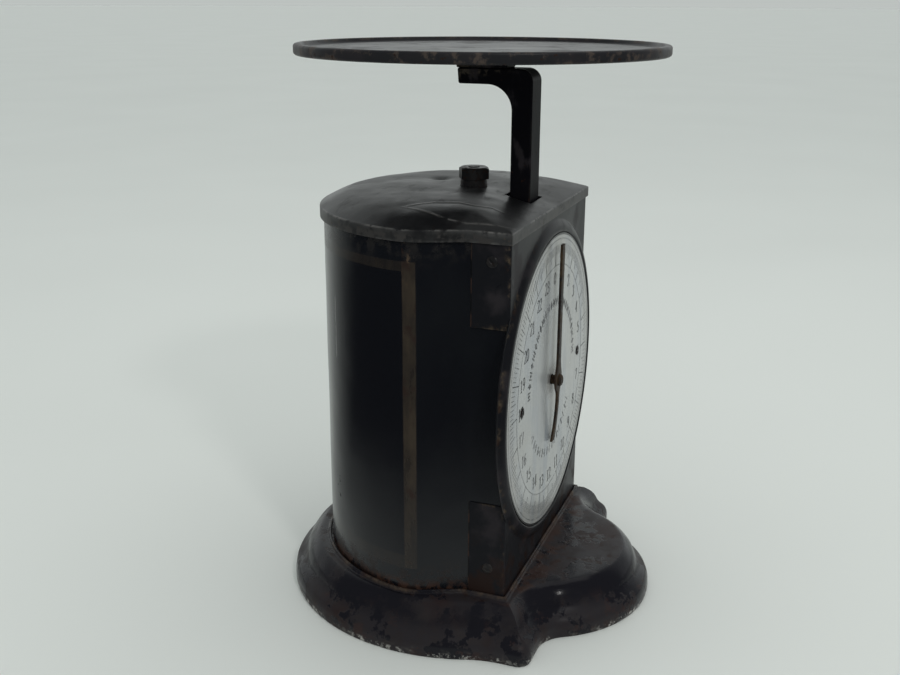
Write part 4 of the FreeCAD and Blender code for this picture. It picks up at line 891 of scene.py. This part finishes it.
def build_lid():
    gap = 1.0
    outer_offset = gap + SHEET
    front = lid_low.y
    crown, dome_radius, edge = 241.0, 1000.0, 230.7
    front_slope, side_slope, soft = 0.27, 0.6, 5.0
    hole = collar_high.x + 0.3
    around, across = 480, 96
    half = case_side(outer_offset, front)
    corner = half[-1]
    ring = half + [(corner[0] * (1 - s), front) for s in even(60)[1:]]
    outline = mirrored(ring)
    closed = outline + [outline[0]]
    outline = spread(closed, even(around))[:-1]

    def softer(a, b, blend):
        return (a + b - math.sqrt((a - b) ** 2 + blend ** 2)) / 2

    def top(x, y, inward):
        """The lid's height at a point that lies a way inward of its edge, and the mark for the painted crease
        highlight there.
        """
        reach = math.hypot(x, y - HANGER_Y)
        dome = crown - (x ** 2 + (y - 12.0) ** 2) / (2 * dome_radius)
        height = softer(dome, edge + 0.4 + inward * side_slope, soft)
        height = softer(height, edge + (y - front) * front_slope, 1.0)
        bend, wear = crease(x, y)
        fade = min(1.0, max(0.0, (reach - 11.0) / 10.0)) * min(1.0, max(0.0, inward / 12.0))
        dent = 0.40 * ripple(x, y, 0.0, 21.0, 2.0) + 0.12 * ripple(x, y, 0.0, 8.0, 4.0)
        bowl = -2.3 * math.exp(-((x - 13.0) ** 2 + (y - 26.0) ** 2) / 36.0)
        bowl -= 1.6 * math.exp(-(reach / 15.0) ** 2)
        return height + (bend + dent) * fade + bowl, wear

    centre = Vector((0.0, HANGER_Y))
    rings, marks = [], []
    for row in range(across + 1):
        share = (row / across) ** 0.85
        ring, mark = [], []
        for x, y in outline:
            spoke = Vector((x, y)) - centre
            full = spoke.length
            reach = hole + (full - 0.9 - hole) * share
            place = centre + spoke * (reach / full)
            height, wear = top(place.x, place.y, full - reach)
            ring.append((place.x, place.y, height))
            mark.append(wear)
        rings.append(ring)
        marks.append(mark)
    rim = rings[-1]
    worn = [min(1.0, max(0.0, 0.55 + 0.9 * ripple(x, y, z, 13.0, 9.0))) for x, y, z in rim]
    for inward, down in ((0.6, 0.12), (0.3, 0.32), (0.1, 0.6), (0.0, 1.0), (0.0, 1.6)):
        ring = []
        for (x, y), (_, _, rz) in zip(outline, rim):
            spoke = Vector((x, y)) - centre
            place = centre + spoke * ((spoke.length - inward) / spoke.length)
            ring.append((place.x, place.y, rz - down))
        rings.append(ring)
        marks.append([w if down < 0.7 else 0.3 * w for w in worn])
    for share in (0.35, 0.7, 1.0):
        ring = []
        for (x, y, z), (ox, oy) in zip(rings[across + 5], outline):
            ring.append((ox, oy, z + (lid_low.z - z) * share))
        rings.append(ring)
        marks.append([0.0 if share < 1.0 else 0.6 * w for w in worn])
    inner = []
    for x, y in outline:
        spoke = Vector((x, y)) - centre
        inner.append(centre + spoke * ((spoke.length - SHEET) / spoke.length))
    rings.append([(p.x, p.y, lid_low.z) for p in inner])
    rings.append([(p.x, p.y, z - SHEET - 0.2) for p, (x, y, z) in zip(inner, rim)])
    under = []
    for share in (0.75, 0.5, 0.25, 0.0):
        ring = []
        for p in inner:
            spoke = p - centre
            reach = hole + (spoke.length - hole) * share
            place = centre + spoke * (reach / spoke.length)
            height, wear = top(place.x, place.y, spoke.length + SHEET - reach)
            ring.append((place.x, place.y, height - SHEET))
        under.append(ring)
    rings += under
    marks += [[0.0] * around] * 6
    points, faces = skin(rings, True, True)
    flat_marks = [value for row in marks for value in row]
    lid = make("lid_shell", points, faces, lid_paint, "root", ("lid",), 35.0, flat_marks)
    clear, clear_front = 2.2, 1.4
    carve(lid, (arm_low.x - clear, arm_low.y - clear_front, lid_low.z - 2.0),
          (arm_high.x + clear, COLUMN_REAR + clear, lid_high.z + 6.0))


# ---------------------------------------------------------------- tray, arm and nut

def build_tray():
    radius = tray_high.x
    top, bottom = tray_high.z, tray_low.z
    floor = top - 2.3
    rim = 3.6
    centre = (0.0, (tray_low.y + tray_high.y) / 2, 0.0)
    corners = [(0.0, floor, 0), (radius - rim - 6.0, floor, 0), (radius - rim - 1.2, floor, 1.2),
               (radius - rim, top, 0.9), (radius, top, 1.5), (radius, bottom, 1.7),
               (radius - 5.0, bottom + 0.1, 0.6), (radius - 8.0, bottom + 0.4, 1.0),
               (radius - 12.0, bottom + 0.4, 0),
               (20.0, bottom + 0.2, 0), (12.0, bottom, 0), (0.0, bottom, 0)]
    profile = rounded(corners, False, 5)
    dense = []
    for a, b in zip(profile, profile[1:]):
        pieces = max(1, int(math.dist(a, b) / 6.0))
        dense += [(a[0] + (b[0] - a[0]) * s / pieces, a[1] + (b[1] - a[1]) * s / pieces)
                  for s in range(pieces)]
    dense.append(profile[-1])
    points, faces = lathe(dense, centre, "z", 256, False)
    warped, marks = [], []
    for x, y, z in points:
        reach = math.hypot(x, y - centre[1])
        ease = max(0.0, min(1.0, (reach - 15.0) / 30.0)) * max(0.0, min(1.0, (radius - 4.0 - reach) / 8.0))
        warped.append((x, y, z + 0.22 * ease * ripple(x, y, 0.0, 34.0, 6.0)))
        marks.append(1.0 if reach > radius - rim - 0.5 else 0.0)
    make("tray", warped, faces, tray_paint, "carriage", ("platform",), 32.0, marks)


def build_arm():
    top, tongue = arm_high.z, 8.4
    rear = arm_high.y
    front = arm_low.y
    under = top - tongue
    outline = rounded([(front, arm_low.z, 0), (front, top, 7.0), (rear, top, 0.9), (rear - 0.6, under, 1.2),
                       (COLUMN_REAR, under, 14.0), (COLUMN_REAR, arm_low.z, 0)], True, 12)
    count = len(outline)
    points = [(arm_low.x, y, z) for y, z in outline] + [(arm_high.x, y, z) for y, z in outline]
    faces = [tuple(range(count)), tuple(range(2 * count - 1, count - 1, -1))]
    for k in range(count):
        m = (k + 1) % count
        faces.append((k, m, count + m, count + k))
    piece = make("arm_bar", points, faces, arm_paint, "carriage", ("arm",), 40.0)
    soften(piece, 1.7, 4, 50.0)
    bake(piece)


def build_pad():
    low, high = span("platform_pad")
    corners = rounded([(low.x, low.y, 1.0), (high.x, low.y, 1.0),
                       (high.x, high.y, 1.0), (low.x, high.y, 1.0)])
    rings = []
    levels = [(0.5, low.z), (0.0, low.z + 0.5), (0.0, low.z + 2.1), (0.35, low.z + 2.3), (0.35, low.z + 2.5),
              (0.0, low.z + 2.7), (0.0, high.z)]
    middle = ((low.x + high.x) / 2, (low.y + high.y) / 2)
    half = ((high.x - low.x) / 2, (high.y - low.y) / 2)
    for inset, height in levels:
        rings.append([(middle[0] + (x - middle[0]) * (half[0] - inset) / half[0],
                       middle[1] + (y - middle[1]) * (half[1] - inset) / half[1], height)
                      for x, y in corners])
    points, faces = skin(rings)
    count = len(corners)
    faces += [tuple(range(count)), tuple(range(len(points) - count, len(points)))]
    make("tray_pad", points, faces, arm_paint, "carriage", ("platform_pad",), 35.0)


def build_nut():
    flats = nut_high.y - nut_low.y
    apothem = flats / 2
    low, high = nut_low.z, nut_high.z
    bore, chamfer = 3.05, apothem - 0.5
    steps = 96

    def hexagon(turn):
        part = (math.degrees(turn) + 60.0) % 60.0 - 30.0
        return apothem / math.cos(math.radians(part))

    turns = [2 * math.pi * step / steps + math.pi / 6 for step in range(steps)]
    rings = []
    for radius, height in ((bore, low), (bore, high - 0.4), (bore + 0.5, high), (chamfer, high)):
        rings.append([(radius * math.cos(t), HANGER_Y + radius * math.sin(t), height) for t in turns])
    fall = 0.62
    rings.append([(hexagon(t - math.pi / 6) * math.cos(t), HANGER_Y + hexagon(t - math.pi / 6) * math.sin(t),
                   high - (hexagon(t - math.pi / 6) - chamfer) * fall) for t in turns])
    rings.append([(hexagon(t - math.pi / 6) * math.cos(t), HANGER_Y + hexagon(t - math.pi / 6) * math.sin(t),
                   low) for t in turns])
    points, faces = skin(rings, True, True)
    nut = make("hex_nut", points, faces, dark_screw, "nut", ("zero_nut",), 25.0)
    profile = rounded([(3.05, collar_low.z, 0), (3.05, collar_high.z, 0),
                       (collar_high.x, collar_high.z, 0.6), (collar_high.x, collar_low.z, 0)], True, 4)
    points, faces = lathe(profile, (0.0, HANGER_Y, 0.0), "z", 96)
    make("collar", points, faces, dark_screw, "root", ("nut_collar",), 35.0)
    return nut


# ---------------------------------------------------------------- pointer and dial print

BLADE_WIDENED = 1.3    # the blade beside the CAD one, which is plainer
BLADE_THICKENED = 0.5


def build_pointer():
    blade = [(80.0, 1.7), (79.4, 2.15), (77.0, 2.3), (60.0, 2.3), (40.0, 2.25), (20.0, 2.3), (12.0, 2.5),
             (8.0, 3.0), (5.0, 4.1), (3.0, 4.7), (0.0, 5.0), (-3.0, 4.5), (-5.0, 3.4), (-7.0, 2.2),
             (-10.0, 1.6), (-18.0, 1.55), (-26.0, 1.7), (-32.0, 2.1), (-36.5, 2.5), (-38.0, 2.2)]
    run = [(reach, half * BLADE_WIDENED) for reach, half in smooth_run(blade, 3)]
    face, back = pointer_low.y, pointer_high.y + BLADE_THICKENED
    outer, inner = [], []
    for reach, half in run:
        bend = 2.2 * max(0.0, (-reach - 10.0) / 28.0) ** 1.6 - 0.25 * max(0.0, (reach - 20.0) / 60.0) ** 2
        wave = 0.12 * ripple(reach, 0.0, 0.0, 14.0, 2.0)
        across = (-1.0, -0.86, -0.5, 0.0, 0.5, 0.86, 1.0)
        lift = (0.3, 0.06, 0.0, 0.0, 0.0, 0.06, 0.3)
        outer.append([(half * a + wave, face + bend + up, DIAL_Z + reach) for a, up in zip(across, lift)])
        inner.append([(half * a + wave, back + bend - up, DIAL_Z + reach) for a, up in zip(across, lift)])
    points, faces = slab(outer, inner)
    make("pointer_blade", points, faces, pointer_steel, "pointer_group", ("pointer",), 50.0)
    tip, sleeve = hub_low.y, hub_high.y
    profile = rounded([(0.0, tip, 0), (2.6, tip, 0.5), (3.4, tip + 0.8, 0.5), (3.4, face, 0.2),
                       (2.7, face, 0), (2.7, back, 0), (2.95, back + 0.7, 0.3), (2.7, back + 1.5, 0.3),
                       (2.65, sleeve, 0), (0.0, sleeve, 0)],
                      False, 4)
    points, faces = lathe(profile, (0.0, 0.0, DIAL_Z), "y", 64, False)
    make("hub", points, faces, pointer_steel, "pointer_group", ("pointer_hub",), 40.0)


def oval(cx, cy, rx, ry, start, end, steps=16):
    turns = [math.radians(start + (end - start) * step / steps) for step in range(steps + 1)]
    return [(cx + rx * math.cos(t), cy + ry * math.sin(t)) for t in turns]


SIX = [oval(.28, .29, .22, .27, 0, 360), oval(.47, .34, .41, .61, 180, 98)]
GLYPHS = {
    "0": [oval(.28, .5, .23, .46, 90, 450, 24)],
    "1": [[(.12, .80), (.28, .96)], [(.28, .97), (.28, .03)], [(.14, .03), (.42, .03)]],
    "2": [oval(.27, .73, .21, .24, 170, -35) + [(.06, .05)],
          [(.05, .04), (.51, .04)], [(.51, .04), (.53, .17)]],
    "3": [oval(.26, .75, .20, .21, 150, -90), oval(.26, .29, .24, .25, 90, -150)],
    "4": [[(.38, .97), (.05, .31)], [(.03, .30), (.54, .30)],
          [(.38, .97), (.38, .03)], [(.26, .03), (.50, .03)]],
    "5": [[(.48, .95), (.15, .95)], [(.15, .95), (.11, .56)], oval(.26, .32, .24, .29, 130, -150)],
    "6": SIX,
    "7": [[(.05, .95), (.51, .95)], [(.51, .95), (.22, .03)], [(.05, .95), (.05, .80)]],
    "8": [oval(.28, .75, .18, .21, 0, 360), oval(.28, .28, .23, .26, 0, 360)],
    "9": [[(.56 - x, 1.0 - y) for x, y in stroke] for stroke in SIX],
}
DIGIT_WIDTH = 0.60
NUMERAL_HEIGHT = 7.2
NUMERAL_RADIUS = 60.0
PRINT_RISE = 0.05


class Print:
    """Raised ink on the dial: closed prisms a hair above the dial's face."""

    def __init__(self):
        self.points, self.faces = [], []

    def prism(self, outline):
        base, count = len(self.points), len(outline)
        for depth in (PRINT_RISE, -PRINT_RISE):
            self.points += [(x, DIAL_FACE + depth, DIAL_Z + z) for x, z in outline]
        self.faces.append(tuple(base + count + k for k in range(count)))
        self.faces.append(tuple(base + k for k in reversed(range(count))))
        for k in range(count):
            m = (k + 1) % count
            self.faces.append((base + k, base + m, base + count + m, base + count + k))

    def bar(self, a, b, half):
        """A straight mark between two points."""
        run = Vector(b) - Vector(a)
        side = Vector((-run.y, run.x)).normalized() * half
        a, b = Vector(a), Vector(b)
        self.prism([tuple(a - side), tuple(b - side), tuple(b + side), tuple(a + side)])

    def stroke(self, run, thin, thick):
        """A pen stroke, heavy where it runs upright."""
        for a, b in zip(run, run[1:]):
            move = Vector(b) - Vector(a)
            if move.length < 1e-6:
                continue
            upright = abs(move.normalized().y)
            half = (thin + (thick - thin) * upright ** 1.5) / 2
            extra = move.normalized() * min(0.08, half * 0.5)
            self.bar(tuple(Vector(a) - extra), tuple(Vector(b) + extra), half)

    def number(self, text, centre, height):
        width = DIGIT_WIDTH * len(text) - 0.04
        for index, digit in enumerate(text):
            for run in GLYPHS[digit]:
                placed = [(centre[0] + (x + index * DIGIT_WIDTH - width / 2) * height,
                           centre[1] + (y - 0.5) * height) for x, y in run]
                self.stroke(placed, 0.055 * height, 0.15 * height)

    def circle(self, radius, half, steps=180):
        for step in range(steps):
            a, b = (2 * math.pi * (step + k) / steps for k in (0, 1))
            self.bar((radius * math.sin(a), radius * math.cos(a)),
                     (radius * math.sin(b), radius * math.cos(b)), half)


def on_dial(radius, turn):
    """A place on the dial, the turn in degrees clockwise from the top."""
    return radius * math.sin(math.radians(turn)), radius * math.cos(math.radians(turn))


def build_print():
    ink = Print()
    pounds, parts = 24, 8
    for mark in range(pounds * parts):
        turn = 360.0 * mark / (pounds * parts)
        if mark % parts == 0:
            inner, half = 67.0, 0.30
        elif mark % (parts // 2) == 0:
            inner, half = 70.5, 0.22
        else:
            inner, half = 73.5, 0.15
        ink.bar(on_dial(inner, turn), on_dial(78.6, turn), half)
    ink.circle(67.0, 0.16)
    ink.circle(81.6, 0.14)
    for pound in range(pounds):
        centre = on_dial(NUMERAL_RADIUS, 360.0 * pound / pounds)
        ink.number(str(pound), centre, NUMERAL_HEIGHT)
    for step in range(25):
        turn = -84.0 + 7.0 * step
        size = 3.0 if step % 2 else 2.0
        tall = [on_dial(46.0 - size, turn), on_dial(46.0, turn + size * 0.75), on_dial(46.0 + size, turn),
                on_dial(46.0, turn - size * 0.75)]
        ink.prism(tall)
        if step % 2 == 0:
            for side in (-2.4, 2.4):
                ink.bar(on_dial(43.6, turn + side), on_dial(48.4, turn + side), 0.45)
    for step in range(17):
        turn = 124.0 + 7.0 * step
        ink.bar(on_dial(40.6, turn), on_dial(45.6, turn), 0.7 if step % 2 else 0.4)
        if step % 2 == 0:
            ink.prism([on_dial(42.2, turn + 3.5), on_dial(43.2, turn + 4.6), on_dial(44.2, turn + 3.5),
                       on_dial(43.2, turn + 2.4)])
    make("dial_print", ink.points, ink.faces, dial_ink, "root", (), 30.0)


# ---------------------------------------------------------------- screws and spring

def screw_head(name, at, axis, sign, radius, height, shank, length, slot_turn, finish, body):
    """A round-headed slotted screw; its head's flat side is at the point and its dome faces sign."""
    dome = [(0.0, height), (radius * 0.35, height * 0.97), (radius * 0.68, height * 0.8),
            (radius * 0.9, height * 0.48), (radius, height * 0.12), (radius, 0.0),
            (shank, 0.0), (shank, -length), (0.0, -length)]
    profile = [(r, sign * h) for r, h in dome]
    points, faces = lathe(profile, at, axis, 40, False)
    piece = make(name, points, faces, finish, body, (), 35.0)
    slot, deep = radius * 0.2, height * 0.55
    index = "xyz".index(axis)
    across = [1.5 * radius, slot]
    low, high = list(at), list(at)
    flat = [k for k in range(3) if k != index]
    for k, half in zip(flat, across):
        low[k] -= half
        high[k] += half
    ends = sorted((at[index] + sign * (height - deep), at[index] + sign * (height + 2.0)))
    low[index], high[index] = ends
    turn = Matrix.Rotation(math.radians(slot_turn), 3, axis.upper())
    carve(piece, low, high, turn)
    return piece


def build_screws():
    low, high = span("dial_screws")
    for side, turn in ((-1, 62.0), (1, 20.0)):
        at = (side * 58.0, DIAL_FACE, DIAL_Z)
        screw_head("dial_screw_%d" % (side + 1), at, "y", -1, 3.0, 0.9, 1.4, 5.0, turn,
                                dark_screw, "root")
    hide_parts("dial_screws")
    low, high = span("ear_screws")
    for side, name in ((-1, "left"), (1, "right")):
        for z, turn, level in ((44.0, 10.0, "low"), (215.0, 48.0, "high")):
            at = (side * PANEL_HALF, (low.y + high.y) / 2, z)
            screw_head("ear_screw_%s_%s" % (name, level), at, "x", side,
                                    3.0, 0.9, 1.4, 4.6, turn,
                                    dark_screw, "root")
    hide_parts("ear_screws")


def tube(run, radius, sides=10):
    """A round wire along a run of points."""
    rings = []
    side = None
    for k, point in enumerate(run):
        ahead = (run[min(k + 1, len(run) - 1)] - run[max(k - 1, 0)]).normalized()
        if side is None:
            side = ahead.orthogonal().normalized()
        side = (side - ahead * side.dot(ahead)).normalized()
        other = ahead.cross(side)
        rings.append([tuple(point + side * (radius * math.cos(2 * math.pi * s / sides))
                            + other * (radius * math.sin(2 * math.pi * s / sides))) for s in range(sides)])
    points, faces = skin(rings)
    faces += [tuple(range(sides)), tuple(range(len(points) - sides, len(points)))]
    return points, faces


def build_spring():
    low, high = span("main_spring")
    wire, coil, turns = 1.3, 7.6, 24.0
    bottom, top = 77.5, 195.0
    run = []
    steps = 24
    hook = 5.4

    def hook_run(start_z, end_z, sign):
        """From the coil's end in to the axis and round an open loop."""
        found = []
        loop_z = end_z - sign * (hook - 0.6)
        for share in even(8)[:-1]:
            radius = coil * (1 - share) + 0.4 * share
            found.append(Vector((radius, HANGER_Y, start_z + (loop_z - sign * hook - start_z) * share)))
        for turn in range(0, 300, 20):
            angle = math.radians(turn)
            found.append(Vector((hook * 0.9 * math.sin(angle) * 0.35, HANGER_Y + 0.9 * hook * math.sin(angle),
                                 loop_z - sign * hook * math.cos(angle))))
        return found

    upper = hook_run(top, high.z, 1.0)
    lower = hook_run(bottom, low.z, -1.0)
    helix = []
    total = int(turns * steps)
    for k in range(total + 1):
        angle = 2 * math.pi * k / steps
        z = bottom + (top - bottom) * k / total
        helix.append(Vector((coil * math.cos(angle), HANGER_Y + coil * math.sin(angle), z)))
    run = lower[::-1] + helix + upper
    points, faces = tube(run, wire)
    mesh = bpy.data.meshes.new("coil")
    mesh.from_pydata([tuple(v * MM for v in p) for p in points], [], faces)
    tidy(mesh, 50.0)
    mesh.materials.append(spring_steel)
    coil_piece = bpy.data.objects.new("coil", mesh)
    scene.collection.objects.link(coil_piece)
    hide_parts("main_spring")
    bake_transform(coil_piece)


# ---------------------------------------------------------------- carried-over CAD nodes

def dress_cad_nodes():
    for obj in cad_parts.values():
        for slot in obj.material_slots:
            slot.material = FINISHES[slot.material.name.split(".")[0]]
    for name in ("bridge", "arbor_yoke", "drop_bar", "post_left", "post_right", "case_brackets",
                 "front_bush_plate"):
        soften(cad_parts[name], 0.25, 2, 50.0)


# ---------------------------------------------------------------- stage, light and camera

PHOTO_TURN = 69.22
PHOTO_TILT = 17.42
PHOTO_ROLL = 0.239
CAMERA_PLACE = (-0.5758, -0.2033, 0.34105)
DARK_FROM = -0.75   # where the dark side of the room starts in mirror images, and where it is full
DARK_TO = -0.15


FLOOR_PALE_TO = 0.10   # metres from the object's middle, where the floor starts to darken in mirror images
FLOOR_DARK_FROM = 0.33


def add_node(tree, kind, feeds=(), operation=None, settings=()):
    """A shader node. feeds pairs its inputs with the sockets they take, settings with fixed values."""
    made = tree.nodes.new("ShaderNode" + kind)
    if operation:
        made.operation = operation
    for name, value in settings:
        made.inputs[name].default_value = value
    for name, socket in feeds:
        tree.links.new(socket, made.inputs[name])
    return made


def dark_share(tree, direction, lift):
    """How far a direction lies in the dark side of the room, from 0 to 1."""
    yaw = math.radians(PHOTO_TURN)
    toward = add_node(tree, "VectorMath", [(0, direction)], "DOT_PRODUCT",
                      [(1, (-math.sin(yaw), -math.cos(yaw), lift))])
    share = add_node(tree, "MapRange", [("Value", toward.outputs["Value"])],
                     settings=[("From Min", DARK_FROM), ("From Max", DARK_TO)])
    return share.outputs["Result"]


def dim_in_gloss(material):
    """Keep the floor in front of the object out of its mirror images, as if the table ended there."""
    tree = material.node_tree
    output = next(node for node in tree.nodes if node.type == "OUTPUT_MATERIAL")
    shown = output.inputs["Surface"].links[0].from_socket
    place = add_node(tree, "NewGeometry").outputs["Position"]
    heading = add_node(tree, "VectorMath", [(0, place)], "NORMALIZE")
    side = dark_share(tree, heading.outputs["Vector"], 0.0)
    away = add_node(tree, "VectorMath", [(0, place)], "LENGTH")
    far = add_node(tree, "MapRange", [("Value", away.outputs["Value"])],
                   settings=[("From Min", FLOOR_PALE_TO), ("From Max", FLOOR_DARK_FROM)])
    reach = add_node(tree, "Math", [(0, side), (1, far.outputs["Result"])], "MULTIPLY")
    glossy = add_node(tree, "LightPath").outputs["Is Glossy Ray"]
    both = add_node(tree, "Math", [(0, glossy), (1, reach.outputs["Value"])], "MULTIPLY")
    dark = add_node(tree, "BsdfDiffuse", settings=[("Color", (0.03, 0.032, 0.035, 1.0))])
    mix = add_node(tree, "MixShader", [(0, both.outputs[0]), (1, shown), (2, dark.outputs[0])])
    tree.links.new(mix.outputs[0], output.inputs["Surface"])


def build_stage():
    floor_finish = Finish("floor", (0.79, 0.81, 0.79), 0.55, Specular_IOR_Level=0.25)
    floor_finish.layer(floor_finish.noise(400.0, 2.0, seed=1.0), (0.75, 0.77, 0.75), 0.6)
    material = floor_finish.done(0.0)
    dim_in_gloss(material)
    points, faces = [], []
    steps, radii = 96, (300.0, 900.0, 2700.0, 9000.0, 40000.0)
    points.append((0.0, 0.0, 0.0))
    for radius in radii:
        points += [(radius * math.cos(2 * math.pi * k / steps),
                    radius * math.sin(2 * math.pi * k / steps), 0.0)
                   for k in range(steps)]
    for k in range(steps):
        m = (k + 1) % steps
        faces.append((0, 1 + k, 1 + m))
        for row in range(len(radii) - 1):
            a, b = 1 + row * steps, 1 + (row + 1) * steps
            faces.append((a + k, b + k, b + m, a + m))
    mesh = bpy.data.meshes.new("floor")
    mesh.from_pydata([tuple(v * MM for v in p) for p in points], [], faces)
    mesh.materials.append(material)
    floor = bpy.data.objects.new("floor", mesh)
    scene.collection.objects.link(floor)


def build_camera():
    yaw, pitch, roll = (math.radians(v) for v in (PHOTO_TURN, PHOTO_TILT, PHOTO_ROLL))
    ahead = Vector((math.sin(yaw) * math.cos(pitch), math.cos(yaw) * math.cos(pitch), -math.sin(pitch)))
    right = Vector((math.cos(yaw), -math.sin(yaw), 0.0))
    up = right.cross(ahead)
    across = right * math.cos(roll) + up * math.sin(roll)
    above = up * math.cos(roll) - right * math.sin(roll)
    data = bpy.data.cameras.new("camera")
    data.lens, data.sensor_width = 43.48, 36.0
    data.clip_start, data.clip_end = 0.02, 50.0
    camera = bpy.data.objects.new("camera", data)
    scene.collection.objects.link(camera)
    rows = [[across[k], above[k], -ahead[k], CAMERA_PLACE[k]] for k in range(3)] + [[0.0, 0.0, 0.0, 1.0]]
    camera.matrix_world = Matrix(rows)
    scene.camera = camera


def build_light():
    world = bpy.data.worlds.new("studio")
    scene.world = world
    world.use_nodes = True
    tree = world.node_tree
    tree.nodes.clear()
    direction = add_node(tree, "TexCoord").outputs["Generated"]
    ramp = add_node(tree, "ValToRGB", [(0, dark_share(tree, direction, 0.12))])
    pale, dark = ramp.color_ramp.elements
    pale.position, pale.color = 0.0, (0.80, 0.84, 0.83, 1.0)
    dark.position, dark.color = 1.0, (0.045, 0.050, 0.056, 1.0)
    in_gloss = add_node(tree, "Background", [(0, ramp.outputs[0])], settings=[(1, 1.0)])
    even_light = add_node(tree, "Background", settings=[(0, (0.66, 0.695, 0.68, 1.0))])
    seen = add_node(tree, "Background", settings=[(0, (0.505, 0.535, 0.52, 1.0)), (1, 1.0)])
    path = add_node(tree, "LightPath")
    light = add_node(tree, "MixShader", [(0, path.outputs["Is Glossy Ray"]), (1, even_light.outputs[0]),
                                         (2, in_gloss.outputs[0])])
    mix = add_node(tree, "MixShader", [(0, path.outputs["Is Camera Ray"]), (1, light.outputs[0]),
                                       (2, seen.outputs[0])])
    add_node(tree, "OutputWorld", [(0, mix.outputs[0])])
    lamps = [("ceiling", (0.3, -0.3, 1.7), (0.0, 0.0, 0.1), 1.2, 3.5),
             ("window", (-1.0, -1.0, 1.3), (0.0, 0.0, 0.05), 0.17, 4.5)]
    for name, place, target, width, power in lamps:
        data = bpy.data.lights.new(name, "AREA")
        data.shape = "SQUARE"
        data.size = width
        data.energy = power
        data.color = (1.0, 0.99, 0.97)
        lamp = bpy.data.objects.new(name, data)
        scene.collection.objects.link(lamp)
        lamp.location = place
        lamp.rotation_mode = "QUATERNION"
        lamp.rotation_quaternion = (Vector(target) - Vector(place)).to_track_quat("-Z", "Y")
    scene.view_settings.view_transform = "Standard"
    scene.view_settings.look = "None"
    scene.view_settings.exposure = 0.0


build_camera()
build_light()
build_stage()
dress_cad_nodes()
build_foot()
build_case()
build_panel()
build_lid()
build_tray()
build_arm()
build_pad()
build_nut()
build_pointer()
build_print()
build_screws()
build_spring()
